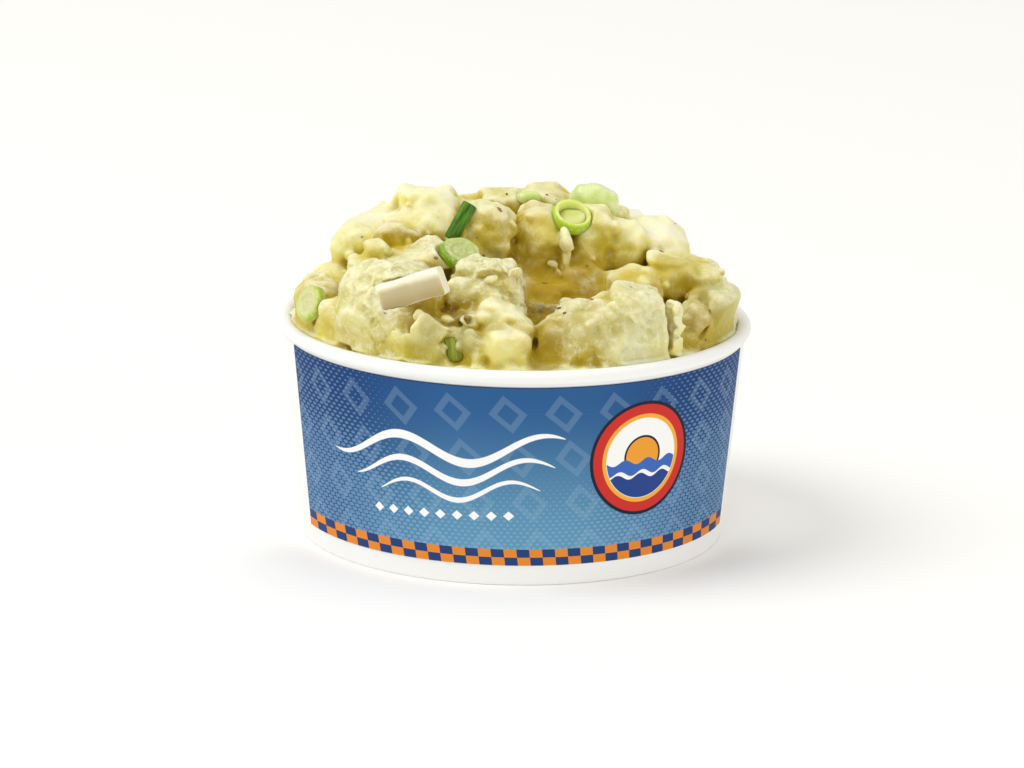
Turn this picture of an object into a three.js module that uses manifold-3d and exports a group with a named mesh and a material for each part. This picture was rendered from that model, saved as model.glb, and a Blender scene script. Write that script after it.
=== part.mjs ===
// Potato salad heaped in a squat paper food cup. Millimetres, +Z up. The origin is the middle of
// the ring that the cup stands on, and -Y is the side with the printed band.
import * as THREE from 'three';
import { mergeVertices } from 'three/addons/utils/BufferGeometryUtils.js';
import Module from 'manifold-3d';

// Driving dimensions of the cup.
const RIM_RADIUS = 49;
const CUP_HEIGHT = 45.3;
const BASE_RADIUS = 43.95;
const WALL_FLARE = 0.086;
const WALL_THICKNESS = 0.9;
const RIM_ROLL_HEIGHT = 2.9;
const RIM_ROLL_START = -65;
const RIM_ROLL_STEPS = 7;
const RIM_INNER_RADIUS = 46;
const BASE_RECESS = 3.6;
const BASE_THICKNESS = 0.7;
const CURL_WIDTH = 3;
const CURL_HEIGHT = 3;
const CUP_SEGMENTS = 54;

// The printed band: a thin layer on the front of the wall.
const BAND_BOTTOM = 4.3;
const BAND_TOP = 41.9;
const BAND_HALF_ANGLE = 80;
const BAND_THICKNESS = 0.15;
const BAND_GAP = 0.05;

// Gaps between pieces that touch, and the small round on the cup's edges.
const GAP = 0.3;
const CORE_GAP = 0.36;
const EDGE = 0.35;

// How square the potato's pieces are (2 is an ellipsoid), and the half sizes from which they have
// more facets. The salad's core and the toppings are turned in fewer steps than the cup.
const PIECE_POWER = 3;
const FACET_STEPS = [3.2, 9];
const CORE_SEGMENTS = 27;
const TOPPING_SEGMENTS = 16;

// How far a join may move the surface to leave out needle-thin triangles.
const JOIN_TOLERANCE = 0.04;

// How far a strip of leaf bows across its width and bends along its length, and its steps there.
const STRIP_BOW = 0.6;
const STRIP_BEND = 1.2;
const STRIP_STEPS = 6;
const RING_SECTION_STEPS = 6;

// The core that the salad's pieces are fused to, as radius and height from the rim up.
const CORE_DOME = [[45.2, 45.4], [41, 46.6], [35, 49], [26, 51.5], [14, 53.4], [0, 54]];

// Pieces of potato that show: middle, half sizes and turns in degrees about X, then Y, then Z.
const PIECES = [
  // The mound under the top pieces, behind the hollow.
  { at: [-3, 7, 54.5], half: [26, 18, 9.5], turn: [0, 0, 0], power: 2.4 },
  // Back left: a large coated piece with a knob on its top and a lobe at its front.
  { at: [-23.5, 2, 60.2], half: [12.5, 11, 7.6], turn: [0, -13, 8] },
  { at: [-18.8, 6.5, 66.6], half: [7.4, 7, 4.6], turn: [0, 0, 0] },
  { at: [-23.5, -8.5, 61], half: [6, 5, 4.8], turn: [0, 18, 0] },
  { at: [-32, -2, 58.8], half: [6, 8, 6.3], turn: [0, -35, 0] },
  // Left side, down to the rim.
  { at: [-35.6, -4, 51.2], half: [6.5, 10, 6.6], turn: [0, -20, 10] },
  { at: [-29.8, -15.5, 60.2], half: [2.7, 3, 3.4], turn: [0, 0, 0] },
  { at: [-41, -14, 48.8], half: [4.5, 6.5, 6.4], turn: [0, 0, 20] },
  { at: [-35.8, -24.5, 47.5], half: [3.6, 5.5, 6.6], turn: [0, 0, 30] },
  // Front left: the large granular piece and the slope behind its top.
  { at: [-24.6, -25.5, 51.2], half: [11, 11.5, 10], turn: [0, 0, -30], power: 3.6 },
  { at: [-23.6, -19, 58.4], half: [9, 7, 4.5], turn: [0, -24, 0] },
  // Centre, from the top down to the rim.
  { at: [-5.7, -7, 63.5], half: [5, 6, 7], turn: [0, 0, 0] },
  { at: [-6, -23, 58.4], half: [6.8, 5.5, 3.6], turn: [0, 4, 0] },
  { at: [-7, -26.5, 54.6], half: [8, 7, 5.5], turn: [0, 12, -10] },
  { at: [-0.6, -25, 53.6], half: [3.6, 7, 8], turn: [0, -16, 0] },
  { at: [-3, -34.5, 52], half: [5.6, 5, 3.8], turn: [0, 15, 0] },
  { at: [-1.8, -39.7, 46.8], half: [5.4, 5.6, 5.4], turn: [0, 0, 0] },
  { at: [1.5, -35.5, 50], half: [3, 4, 3.5], turn: [0, 0, 0] },
  // Front, left of the middle: small flaky pieces.
  { at: [-16.8, -38, 50.3], half: [2.6, 2, 4.2], turn: [0, 10, 0] },
  { at: [-17.5, -39.4, 46.4], half: [5, 3.4, 3.2], turn: [0, 0, 0] },
  { at: [-22.3, -38.4, 47], half: [2.8, 2.6, 2.8], turn: [0, 0, 0] },
  { at: [-19.8, -36.5, 51.8], half: [1.8, 1.8, 2], turn: [0, 0, 0] },
  { at: [-10.8, -36, 51.6], half: [3.3, 2.6, 1.7], turn: [0, 0, 0] },
  { at: [-8.2, -40.4, 46.7], half: [2.8, 3, 3.6], turn: [0, 0, 0] },
  { at: [-13, -34.5, 48], half: [6.4, 6, 5.2], turn: [0, 0, 0] },
  // Right of the middle: the hollow's floor, and the upright pieces behind it.
  { at: [9.5, -12, 53.4], half: [9.5, 6.5, 4.2], turn: [0, 0, 0] },
  { at: [4.2, -3, 62], half: [5.4, 6, 8], turn: [0, 0, 0] },
  { at: [10.2, -7, 60], half: [1.3, 3, 4.6], turn: [0, 0, 0] },
  { at: [15.8, -2, 60.5], half: [4.8, 6, 8.2], turn: [0, 0, 0] },
  { at: [22.6, -1, 59.4], half: [4.8, 6, 6.3], turn: [0, 0, 0] },
  // Right side, down to the rim.
  { at: [28.4, 6, 59.2], half: [8.6, 8.5, 6.2], turn: [0, 16, 0] },
  { at: [34, -5, 54.3], half: [7.3, 7, 5.5], turn: [0, 16, 0] },
  { at: [38.6, -3.5, 55.4], half: [3.4, 4, 3.4], turn: [0, 0, 0] },
  { at: [40.6, -12, 48.5], half: [5.8, 8, 7.2], turn: [0, 8, -15] },
  { at: [36.5, -21, 47], half: [4.5, 5.5, 6], turn: [0, 0, 0] },
  { at: [32.3, -28.5, 50], half: [1.9, 3, 5.4], turn: [0, 4, 0] },
  { at: [32.4, -31.3, 46.3], half: [2.5, 2.6, 2.8], turn: [0, 0, 0] },
  { at: [24.3, -13.5, 54.8], half: [6.6, 6, 4.4], turn: [0, -5, 0] },
  // Front right: the largest granular piece.
  { at: [18.2, -30.3, 48.6], half: [12.2, 11, 9.6], turn: [0, -5, 16], power: 4.5 },
  { at: [9, -33.5, 48.5], half: [4.8, 7, 5.8], turn: [0, 0, 0] },
  // Behind the top.
  { at: [-4, 9, 65.5], half: [4.6, 5, 3.8], turn: [0, 0, 0] },
  { at: [5.5, 12, 65.5], half: [5.2, 5.5, 3.8], turn: [0, 0, 0] },
  { at: [18, 8, 64], half: [5.5, 5, 4], turn: [0, 0, 0] },
];

// The back, which is finished like the front: rows of pieces round the dome, sized and turned by
// a seeded rule. Radius and height of the row, its first and last angle, and its number of pieces.
const BACK_ROWS = [
  { radius: 37.5, height: 49.5, from: 2, to: 178, count: 8, half: 7.6 },
  { radius: 26, height: 56.5, from: 20, to: 155, count: 5, half: 7.6 },
  { radius: 15, height: 62, from: 50, to: 140, count: 3, half: 6.6 },
];
const BACK_SEED = 20;
const BACK_LEAN = 30;
const BACK_SPREAD = 2;

const COLOURS = {
  paper: 0xf4f4ef,
  print: 0x3f6f9c,
  potato: 0xe3d79a,
  egg: 0xf1ead8,
  onion: 0xb9c968,
  leaf: 0x4a6a10,
};

// Toppings that lie in the salad's surface, each in a pocket that is larger all round by grow.
// Their sizes are millimetres, and their turns are degrees about X, then Y, then Z.
const TOPPINGS = [
  {
    name: 'egg_white', look: [COLOURS.egg, 0.4], at: [-20.4, -36.3, 58.9], turn: [-5, -19, -12],
    make: (grow) => block([13.4, 4.6, 5.6], 0.5, grow),
  },
  {
    name: 'onion_leaf', look: [COLOURS.leaf, 0.4], at: [-11.4, -12, 67.3], turn: [-18, 29, 0],
    make: (grow) => strip(3.1, 8.4, 0.8, grow),
  },
  {
    name: 'onion_slice', look: [COLOURS.onion, 0.35], at: [-11.3, -18.5, 62], turn: [27, 16, 0],
    make: (grow) => slice(4.2, 2.6, grow),
  },
  {
    name: 'onion_ring_front', look: [COLOURS.onion, 0.35], at: [11.3, -4.5, 67], turn: [30, 14, 0],
    make: (grow) => ring(4.3, 1.4, 3, grow),
  },
  {
    name: 'onion_piece_top', look: [COLOURS.onion, 0.35], at: [16, 5.5, 67.8], turn: [0, 12, 0],
    make: (grow) => chunk([5.3 + grow, 3.4 + grow, 4.4 + grow], 2.2),
  },
  {
    name: 'onion_slice_left', look: [COLOURS.onion, 0.35], at: [-41.4, -20, 51.6], turn: [0, -66, 36],
    make: (grow) => slice(3.7, 2.4, grow),
  },
  {
    name: 'onion_leaf_front', look: [COLOURS.leaf, 0.4], at: [-12, -41, 47.8], turn: [-8, -14, -10],
    make: (grow) => strip(3.4, 5, 0.8, grow),
  },
  {
    name: 'onion_piece_back', look: [COLOURS.onion, 0.35], at: [2.4, 7, 68.4], turn: [0, 0, 0],
    make: (grow) => chunk([2.5 + grow, 1.6 + grow, 1.4 + grow], 2.4),
  },
  {
    name: 'egg_white_rear', look: [COLOURS.egg, 0.4], at: [22, 25, 59], turn: [24, 10, 38],
    make: (grow) => block([11, 5, 5.4], 0.5, grow),
  },
  {
    name: 'onion_ring_rear', look: [COLOURS.onion, 0.35], at: [-8, 28, 60.5], turn: [-38, -8, 0],
    make: (grow) => ring(4.6, 1.4, 3.2, grow),
  },
  {
    name: 'onion_slice_rear', look: [COLOURS.onion, 0.35], at: [-33, 20, 56], turn: [-42, -40, 0],
    make: (grow) => slice(4, 2.6, grow),
  },
  {
    name: 'onion_leaf_rear', look: [COLOURS.leaf, 0.4], at: [7, 35, 54.5], turn: [24, 40, 172],
    make: (grow) => strip(3.2, 8, 0.8, grow),
  },
];

const wasm = await Module();
wasm.setup();

function material(colour, roughness) {
  return new THREE.MeshStandardMaterial({ color: colour, roughness, metalness: 0 });
}

// A geometry with only its places, shared between neighbouring triangles.
function merged(geometry) {
  geometry.deleteAttribute('normal');
  geometry.deleteAttribute('uv');
  return mergeVertices(geometry, 1e-4);
}

function toManifold(geometry) {
  const shared = merged(geometry);
  const mesh = new wasm.Mesh({
    numProp: 3,
    vertProperties: new Float32Array(shared.attributes.position.array),
    triVerts: new Uint32Array(shared.index.array),
    tolerance: JOIN_TOLERANCE,
  });
  return new wasm.Manifold(mesh);
}

function fromManifold(solid) {
  const mesh = solid.getMesh();
  const geometry = new THREE.BufferGeometry();
  geometry.setAttribute('position', new THREE.BufferAttribute(mesh.vertProperties, 3));
  geometry.setIndex(new THREE.BufferAttribute(mesh.triVerts, 1));
  geometry.computeVertexNormals();
  return geometry;
}

// The places of the wall's outer face, from the ring it stands on up.
function wallRadius(height) {
  return BASE_RADIUS + WALL_FLARE * height;
}

// A profile of radius and height, closed or ending on the axis, turned about the Z axis.
function turned(profile, segments = CUP_SEGMENTS) {
  const points = profile.map(([radius, height]) => new THREE.Vector2(radius, height));
  const geometry = new THREE.LatheGeometry(points, segments);
  geometry.rotateX(Math.PI / 2);
  return geometry;
}

function degrees([x, y, z]) {
  return [x, y, z].map((angle) => THREE.MathUtils.degToRad(angle));
}

// Turns about X, then Y, then Z, and moves to a place.
function placed(object, at, turn) {
  object.position.set(...at);
  object.rotation.set(...degrees(turn), 'ZYX');
  object.updateMatrix();
  return object;
}

// Points on an arc in the profile's plane, both ends included: its centre and half sizes as radius
// and height, and its first and last angle.
function arc(centre, half, [from, to], steps) {
  return Array.from({ length: steps + 1 }, (_, i) => {
    const angle = THREE.MathUtils.degToRad(from + ((to - from) * i) / steps);
    return [centre[0] + half[0] * Math.cos(angle), centre[1] + half[1] * Math.sin(angle)];
  });
}

// The side wall: a rolled rim at the top, and at the foot a curl that turns in and up again.
function cupWall() {
  const rollBottom = CUP_HEIGHT - RIM_ROLL_HEIGHT;
  const rollMiddle = (RIM_RADIUS + RIM_INNER_RADIUS) / 2;
  const rollHalf = (RIM_RADIUS - RIM_INNER_RADIUS) / 2;
  const rollHeight = RIM_ROLL_HEIGHT / 2;
  const curlInside = BASE_RADIUS - CURL_WIDTH;
  const curlOutside = curlInside + WALL_THICKNESS;
  const outside = [
    [BASE_RADIUS - EDGE, 0],
    [wallRadius(EDGE), EDGE],
    [wallRadius(rollBottom - EDGE), rollBottom - EDGE],
  ];
  const rollCentre = [rollMiddle, CUP_HEIGHT - rollHeight];
  const roll = arc(rollCentre, [rollHalf, rollHeight], [RIM_ROLL_START, 180], RIM_ROLL_STEPS);
  const inside = [
    [wallRadius(rollBottom - EDGE) - WALL_THICKNESS, rollBottom - EDGE],
    [BASE_RADIUS - WALL_THICKNESS, WALL_THICKNESS],
    [curlOutside, WALL_THICKNESS],
    [curlOutside, CURL_HEIGHT],
    [curlInside, CURL_HEIGHT],
    [curlInside, EDGE],
    [curlInside + EDGE, 0],
  ];
  const profile = [...outside, ...roll, ...inside];
  return turned([...profile, profile[0]]);
}

// The floor: a disc above a shallow recess, with a skirt that stands in the wall's curl.
function cupFloor() {
  const skirtOutside = BASE_RADIUS - WALL_THICKNESS - GAP;
  const skirtInside = BASE_RADIUS - CURL_WIDTH + WALL_THICKNESS + GAP;
  const skirtBottom = WALL_THICKNESS + GAP;
  return turned([
    [0, BASE_RECESS],
    [skirtInside, BASE_RECESS],
    [skirtInside, skirtBottom],
    [skirtOutside, skirtBottom],
    [skirtOutside, BASE_RECESS + BASE_THICKNESS],
    [0, BASE_RECESS + BASE_THICKNESS],
  ]);
}

// The printed band: a thin shell on the wall's facets, in the middle of the -Y side.
function printedBand() {
  const steps = (2 * BAND_HALF_ANGLE) / (360 / CUP_SEGMENTS);
  const corners = [
    [wallRadius(BAND_BOTTOM) + BAND_GAP, BAND_BOTTOM],
    [wallRadius(BAND_BOTTOM) + BAND_GAP + BAND_THICKNESS, BAND_BOTTOM],
    [wallRadius(BAND_TOP) + BAND_GAP + BAND_THICKNESS, BAND_TOP],
    [wallRadius(BAND_TOP) + BAND_GAP, BAND_TOP],
  ];
  const places = [];
  const triangles = [];
  for (let i = 0; i <= steps; i += 1) {
    const angle = THREE.MathUtils.degToRad(-90 - BAND_HALF_ANGLE + (2 * BAND_HALF_ANGLE * i) / steps);
    corners.forEach(([radius, height]) => {
      places.push(radius * Math.cos(angle), radius * Math.sin(angle), height);
    });
  }
  for (let i = 0; i < steps; i += 1) {
    for (let side = 0; side < 4; side += 1) {
      const a = 4 * i + side;
      const b = 4 * i + ((side + 1) % 4);
      triangles.push(a, a + 4, b, b, a + 4, b + 4);
    }
  }
  const last = 4 * steps;
  triangles.push(0, 1, 2, 0, 2, 3);
  triangles.push(last, last + 2, last + 1, last, last + 3, last + 2);
  const geometry = new THREE.BufferGeometry();
  geometry.setAttribute('position', new THREE.Float32BufferAttribute(places, 3));
  geometry.setIndex(triangles);
  geometry.computeVertexNormals();
  return geometry;
}

// A rounded chunk. Every direction from its middle meets the surface where the
// sum of the coordinates' shares of the half sizes, raised to the power, is one.
function chunk(half, power = PIECE_POWER) {
  const detail = FACET_STEPS.filter((size) => Math.max(...half) > size).length;
  const geometry = merged(new THREE.IcosahedronGeometry(1, detail));
  const place = geometry.attributes.position;
  const point = new THREE.Vector3();
  for (let i = 0; i < place.count; i += 1) {
    point.fromBufferAttribute(place, i).normalize();
    const shares = point.toArray().map((value, axis) => Math.abs(value / half[axis]) ** power);
    point.multiplyScalar((shares[0] + shares[1] + shares[2]) ** (-1 / power));
    place.setXYZ(i, point.x, point.y, point.z);
  }
  return geometry;
}

// A block with bevelled edges.
function block([width, depth, height], edge, grow) {
  const x = width / 2 + grow - edge;
  const z = height / 2 + grow - edge;
  const shape = new THREE.Shape();
  shape.moveTo(-x, -z);
  shape.lineTo(x, -z);
  shape.lineTo(x, z);
  shape.lineTo(-x, z);
  shape.closePath();
  const geometry = new THREE.ExtrudeGeometry(shape, {
    depth: depth + 2 * grow - 2 * edge,
    bevelThickness: edge,
    bevelSize: edge,
    bevelSegments: 2,
  });
  geometry.translate(0, 0, -depth / 2 - grow + edge);
  geometry.rotateX(Math.PI / 2);
  return geometry;
}

// A round slice, its edge rounded, with its axis along Z.
function slice(radius, thickness, grow) {
  const half = thickness / 2 + grow;
  const edge = half * 0.5;
  return turned([
    [0, -half],
    [radius + grow - edge, -half],
    [radius + grow, -half + edge],
    [radius + grow, half - edge],
    [radius + grow - edge, half],
    [0, half],
  ], TOPPING_SEGMENTS);
}

// A ring cut from a hollow stem, with its axis along Z.
function ring(radius, wall, height, grow) {
  const centre = [radius - wall / 2, 0];
  const section = arc(centre, [wall / 2 + grow, height / 2 + grow], [-135, 135], RING_SECTION_STEPS);
  return turned([...section, section[0]], TOPPING_SEGMENTS);
}

// A strip of a tubular leaf: its section bows forward, and it bends back along its length.
function strip(width, length, thickness, grow) {
  const shape = new THREE.Shape();
  const half = width / 2 + grow;
  const thick = thickness / 2 + grow;
  const bow = (x) => -STRIP_BOW * (1 - (x / half) ** 2);
  const across = [-1, -0.5, 0, 0.5, 1].map((share) => share * half);
  shape.setFromPoints(across.map((x) => new THREE.Vector2(x, bow(x) - thick)));
  across.reverse().forEach((x) => shape.lineTo(x, bow(x) + thick));
  shape.closePath();
  const depth = length + 2 * grow;
  const geometry = new THREE.ExtrudeGeometry(shape, { depth, steps: STRIP_STEPS, bevelEnabled: false });
  geometry.translate(0, 0, -depth / 2);
  const place = geometry.attributes.position;
  for (let i = 0; i < place.count; i += 1) {
    place.setY(i, place.getY(i) + STRIP_BEND * (place.getZ(i) / length) ** 2);
  }
  return geometry;
}

// Pieces for the back, drawn from a seeded rule.
function backPieces() {
  const range = 2 ** 32;
  let state = BACK_SEED;
  const draw = () => {
    state = (state * 1664525 + 1013904223) % range;
    return state / range;
  };
  const around = (spread) => spread * (draw() - 0.5);
  return BACK_ROWS.flatMap(({ radius, height, from, to, count, half }) =>
    Array.from({ length: count }, (_, i) => {
      const share = (i + 0.4 * draw()) / (count - 0.6);
      const angle = THREE.MathUtils.degToRad(from + (to - from) * share);
      const out = radius + around(BACK_SPREAD);
      return {
        at: [out * Math.cos(angle), out * Math.sin(angle), height + around(BACK_SPREAD)],
        half: [1, 1, 0.85].map((scale) => half * scale * (0.75 + 0.4 * draw())),
        turn: [around(BACK_LEAN), around(BACK_LEAN), 180 * draw()],
      };
    }));
}

// The salad, one solid: the core fills the cup and is domed over the rim, the pieces are joined to
// it, and the space of the cup and of each topping, with its gap, is cut out.
function salad(toppings) {
  const floor = BASE_RECESS + BASE_THICKNESS + GAP;
  const coreEdge = RIM_INNER_RADIUS - CORE_GAP;
  const inside = wallRadius(floor) - WALL_THICKNESS;
  const core = turned([
    [0, floor],
    [inside - CORE_GAP, floor],
    [coreEdge, CUP_HEIGHT - RIM_ROLL_HEIGHT],
    ...CORE_DOME,
  ], CORE_SEGMENTS);
  const beyond = RIM_RADIUS + 10;
  const cup = [
    [inside - GAP, 0],
    [beyond, 0],
    [beyond, CUP_HEIGHT + GAP],
    [RIM_INNER_RADIUS - GAP, CUP_HEIGHT + GAP],
    [RIM_INNER_RADIUS - GAP, CUP_HEIGHT - RIM_ROLL_HEIGHT],
  ];
  let solid = toManifold(core);
  [...PIECES, ...backPieces()].forEach(({ at, half, turn, power }) => {
    const piece = placed(new THREE.Object3D(), at, turn);
    solid = solid.add(toManifold(chunk(half, power).applyMatrix4(piece.matrix)));
  });
  solid = solid.subtract(toManifold(turned([...cup, cup[0]], CORE_SEGMENTS)));
  toppings.forEach(({ at, turn, make }) => {
    const pocket = placed(new THREE.Object3D(), at, turn);
    solid = solid.subtract(toManifold(merged(make(GAP)).applyMatrix4(pocket.matrix)));
  });
  const largest = solid.decompose().reduce((a, b) => (a.volume() > b.volume() ? a : b));
  return fromManifold(largest);
}

const group = new THREE.Group();

function add(name, geometry, look) {
  const mesh = new THREE.Mesh(geometry, look);
  mesh.name = name;
  group.add(mesh);
  return mesh;
}

add('cup_wall', cupWall(), material(COLOURS.paper, 0.55));
add('cup_floor', cupFloor(), material(COLOURS.paper, 0.6));
add('printed_band', printedBand(), material(COLOURS.print, 0.45));
add('salad', salad(TOPPINGS), material(COLOURS.potato, 0.55));
TOPPINGS.forEach(({ name, look, at, turn, make }) => {
  placed(add(name, merged(make(0)), material(...look)), at, turn);
});

export default group;
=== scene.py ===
"""Potato salad heaped in a squat paper food cup.

Sizes in the tables are millimetres, and -Y is the side with the printed band.
"""
import itertools
import math
from functools import partialmethod

import bmesh
import bpy
import numpy as np
from mathutils import Matrix, Quaternion, Vector
from mathutils.bvhtree import BVHTree


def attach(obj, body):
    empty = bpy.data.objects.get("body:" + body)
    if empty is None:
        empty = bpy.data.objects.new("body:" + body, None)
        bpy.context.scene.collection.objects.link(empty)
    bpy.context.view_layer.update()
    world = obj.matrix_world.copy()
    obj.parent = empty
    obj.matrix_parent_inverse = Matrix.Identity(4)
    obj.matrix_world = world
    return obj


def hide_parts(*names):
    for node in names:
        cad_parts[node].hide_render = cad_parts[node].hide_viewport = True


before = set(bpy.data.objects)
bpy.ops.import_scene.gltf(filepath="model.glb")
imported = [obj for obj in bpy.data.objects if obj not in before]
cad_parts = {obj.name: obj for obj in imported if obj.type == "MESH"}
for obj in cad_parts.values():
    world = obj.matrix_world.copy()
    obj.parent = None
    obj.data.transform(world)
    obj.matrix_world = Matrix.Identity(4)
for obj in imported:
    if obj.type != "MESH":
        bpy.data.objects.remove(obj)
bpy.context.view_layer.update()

MM = 0.001

# ---- camera and light
TARGET = Vector((-0.0003, 0.0, 0.0303))


def looking(name, data, away, turn):
    """A camera or a light, that far from the target."""
    obj = bpy.data.objects.new(name, data)
    obj.location = TARGET + away
    obj.rotation_mode = "QUATERNION"
    obj.rotation_quaternion = turn
    bpy.context.scene.collection.objects.link(obj)
    return obj


def camera(elevation, roll, distance, lens):
    data = bpy.data.cameras.new("camera")
    data.lens, data.sensor_width, data.clip_end = lens, 36, 20
    lift = math.radians(elevation)
    turn = Quaternion((1, 0, 0), math.radians(90) - lift) @ Quaternion((0, 0, 1), math.radians(roll))
    away = distance * Vector((0, -math.cos(lift), math.sin(lift)))
    bpy.context.scene.camera = looking("camera", data, away, turn)


def area_light(name, direction, distance, size, power, colour):
    data = bpy.data.lights.new(name, "AREA")
    data.shape, data.size, data.energy, data.color = "DISK", size, power, colour
    out = Vector(direction).normalized()
    looking(name, data, distance * out, out.to_track_quat("Z", "Y"))


camera(elevation=14.55, roll=1.09, distance=0.996, lens=168.6)
bpy.context.scene.view_settings.view_transform = "Standard"
bpy.context.scene.view_settings.look = "None"

area_light("key", (-0.62, -0.15, 0.8), 2.8, 1.8, 36.4, (0.95, 0.975, 1.0))
area_light("top", (0.15, 0.1, 1.0), 2.8, 2.0, 12.0, (0.98, 1.0, 1.0))
area_light("right_fill", (0.8, -0.5, 0.14), 1.4, 1.0, 3.6, (1.0, 0.99, 0.97))
area_light("front_fill", (-0.15, -1.0, 0.14), 1.4, 1.0, 1.8, (0.97, 1.0, 1.0))

WORLD_COLOUR, WORLD_STRENGTH = (1.0, 0.98, 0.945, 1.0), 0.59
world = bpy.data.worlds.new("studio")
world.use_nodes = True
background = world.node_tree.nodes["Background"].inputs
background["Color"].default_value = WORLD_COLOUR
background["Strength"].default_value = WORLD_STRENGTH
bpy.context.scene.world = world


# ---- shader building
def srgb(code):
    """A colour on a screen, such as 0xF5F2D0, as amounts of light."""
    shares = [(code >> shift & 255) / 255 for shift in (16, 8, 0)]
    return tuple(c / 12.92 if c <= 0.04045 else ((c + 0.055) / 1.055) ** 2.4 for c in shares)


def feed(socket, value):
    """Links a shade to a socket, or sets the socket to a plain value."""
    if isinstance(value, Shade):
        socket.id_data.links.new(value.socket, socket)
    else:
        socket.default_value = value


class Shade:
    """A value or colour in a node tree, joined by ordinary arithmetic."""

    def __init__(self, socket):
        self.socket = socket

    def through(self, kind, *values, **settings):
        """What a new node makes of this value and the others."""
        node = self.socket.id_data.nodes.new(kind)
        for key, value in settings.items():
            setattr(node, key, value)
        for socket, value in zip(node.inputs, (self, *values)):
            feed(socket, value)
        return Shade(node.outputs[0])

    def math(self, operation, *others):
        return self.through("ShaderNodeMath", *others, operation=operation)

    __add__ = __radd__ = partialmethod(math, "ADD")
    __mul__ = __rmul__ = partialmethod(math, "MULTIPLY")
    __sub__ = partialmethod(math, "SUBTRACT")
    __truediv__ = partialmethod(math, "DIVIDE")

    def __rsub__(self, other):
        return self * -1 + other

    def ramp(self, low, high):
        """Rises smoothly from 0 at low to 1 at high, or falls where high is the smaller."""
        ends = min(low, high), max(low, high), float(high < low), float(low < high)
        return self.through("ShaderNodeMapRange", *ends, interpolation_type="SMOOTHSTEP")

    def repeat(self, period):
        """How far the value is from the middle of the period that it lies in."""
        return ((self / period).math("FRACT") - 0.5) * period

    def odd(self):
        """1 where a whole number is odd."""
        return (self * 0.5).math("FRACT").math("GREATER_THAN", 0.25)


def length(x, y):
    return (x * x + y * y).math("SQRT")


def lozenge(x, y, half_width, half_height):
    """1 on the edge of a lozenge, less inside it."""
    return x.math("ABSOLUTE") / half_width + y.math("ABSOLUTE") / half_height


class Material:
    """A Principled material with a few ways of adding patterns."""

    def __init__(self, name, **settings):
        self.data = bpy.data.materials.new(name)
        self.data.use_nodes = True
        self.tree = self.data.node_tree
        self.shader = self.tree.nodes["Principled BSDF"]
        for key, value in settings.items():
            self.drive(key.replace("_", " "), value)

    def node(self, kind, inputs=(), output=0, **settings):
        """One output of a new node, given what feeds its sockets and its own settings."""
        node = self.tree.nodes.new(kind)
        for key, value in settings.items():
            setattr(node, key, value)
        for key, value in dict(inputs).items():
            feed(node.inputs[key], value)
        return Shade(node.outputs[output])

    def attribute(self, name, output="Fac"):
        return self.node("ShaderNodeAttribute", output=output, attribute_name=name)

    def axes(self, name):
        """The three parts of a stored vector."""
        vector = self.attribute(name, "Vector")
        return [self.node("ShaderNodeSeparateXYZ", {"Vector": vector}, axis) for axis in "XYZ"]

    def place(self, scale=1 / MM):
        """The place on the object, in millimetres by default."""
        place = self.node("ShaderNodeTexCoord", output="Object")
        return self.node("ShaderNodeVectorMath", {0: place, "Scale": scale}, operation="SCALE")

    def noise(self, scale, detail=2.0, roughness=0.5, vector=None):
        inputs = {"Vector": vector or self.place(), "Scale": scale, "Detail": detail, "Roughness": roughness}
        return self.node("ShaderNodeTexNoise", inputs)

    def cells(self, scale):
        return self.node("ShaderNodeTexVoronoi", {"Vector": self.place(), "Scale": scale})

    def mix(self, factor, low, high):
        """The colour low where factor is 0 and high where it is 1."""
        ends = [end if isinstance(end, Shade) else (*srgb(end), 1.0) for end in (low, high)]
        inputs = {0: factor, 6: ends[0], 7: ends[1]}
        return self.node("ShaderNodeMix", inputs, 2, data_type="RGBA")

    def drive(self, key, value):
        feed(self.shader.inputs[key], value)

    def colour(self, base, *layers):
        """Sets the base colour, with each layer's colour over it as far as the layer's mask goes."""
        for mask, shade in layers:
            base = self.mix(mask, base, shade)
        self.drive("Base Color", base)

    def bump(self, height, distance, strength):
        inputs = {"Height": height, "Distance": distance * MM, "Strength": strength}
        self.drive("Normal", self.node("ShaderNodeBump", inputs))


# ---- meshes from arrays
def read(items, key, width=1, kind=np.float32):
    """One property of many mesh items, as an array."""
    out = np.zeros(len(items) * width, kind)
    items.foreach_get(key, out)
    return out.reshape(-1, width) if width > 1 else out


def points_of(mesh):
    return read(mesh.vertices, "co", 3).astype(float) / MM


def store(mesh, key, values):
    """Keeps a number, a vector or a colour with each point."""
    kinds = {1: ("FLOAT", "value"), 3: ("FLOAT_VECTOR", "vector"), 4: ("FLOAT_COLOR", "color")}
    kind, field = kinds[1 if values.ndim == 1 else values.shape[1]]
    mesh.attributes.new(key, kind, "POINT").data.foreach_set(field, values.astype(np.float32).ravel())


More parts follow.
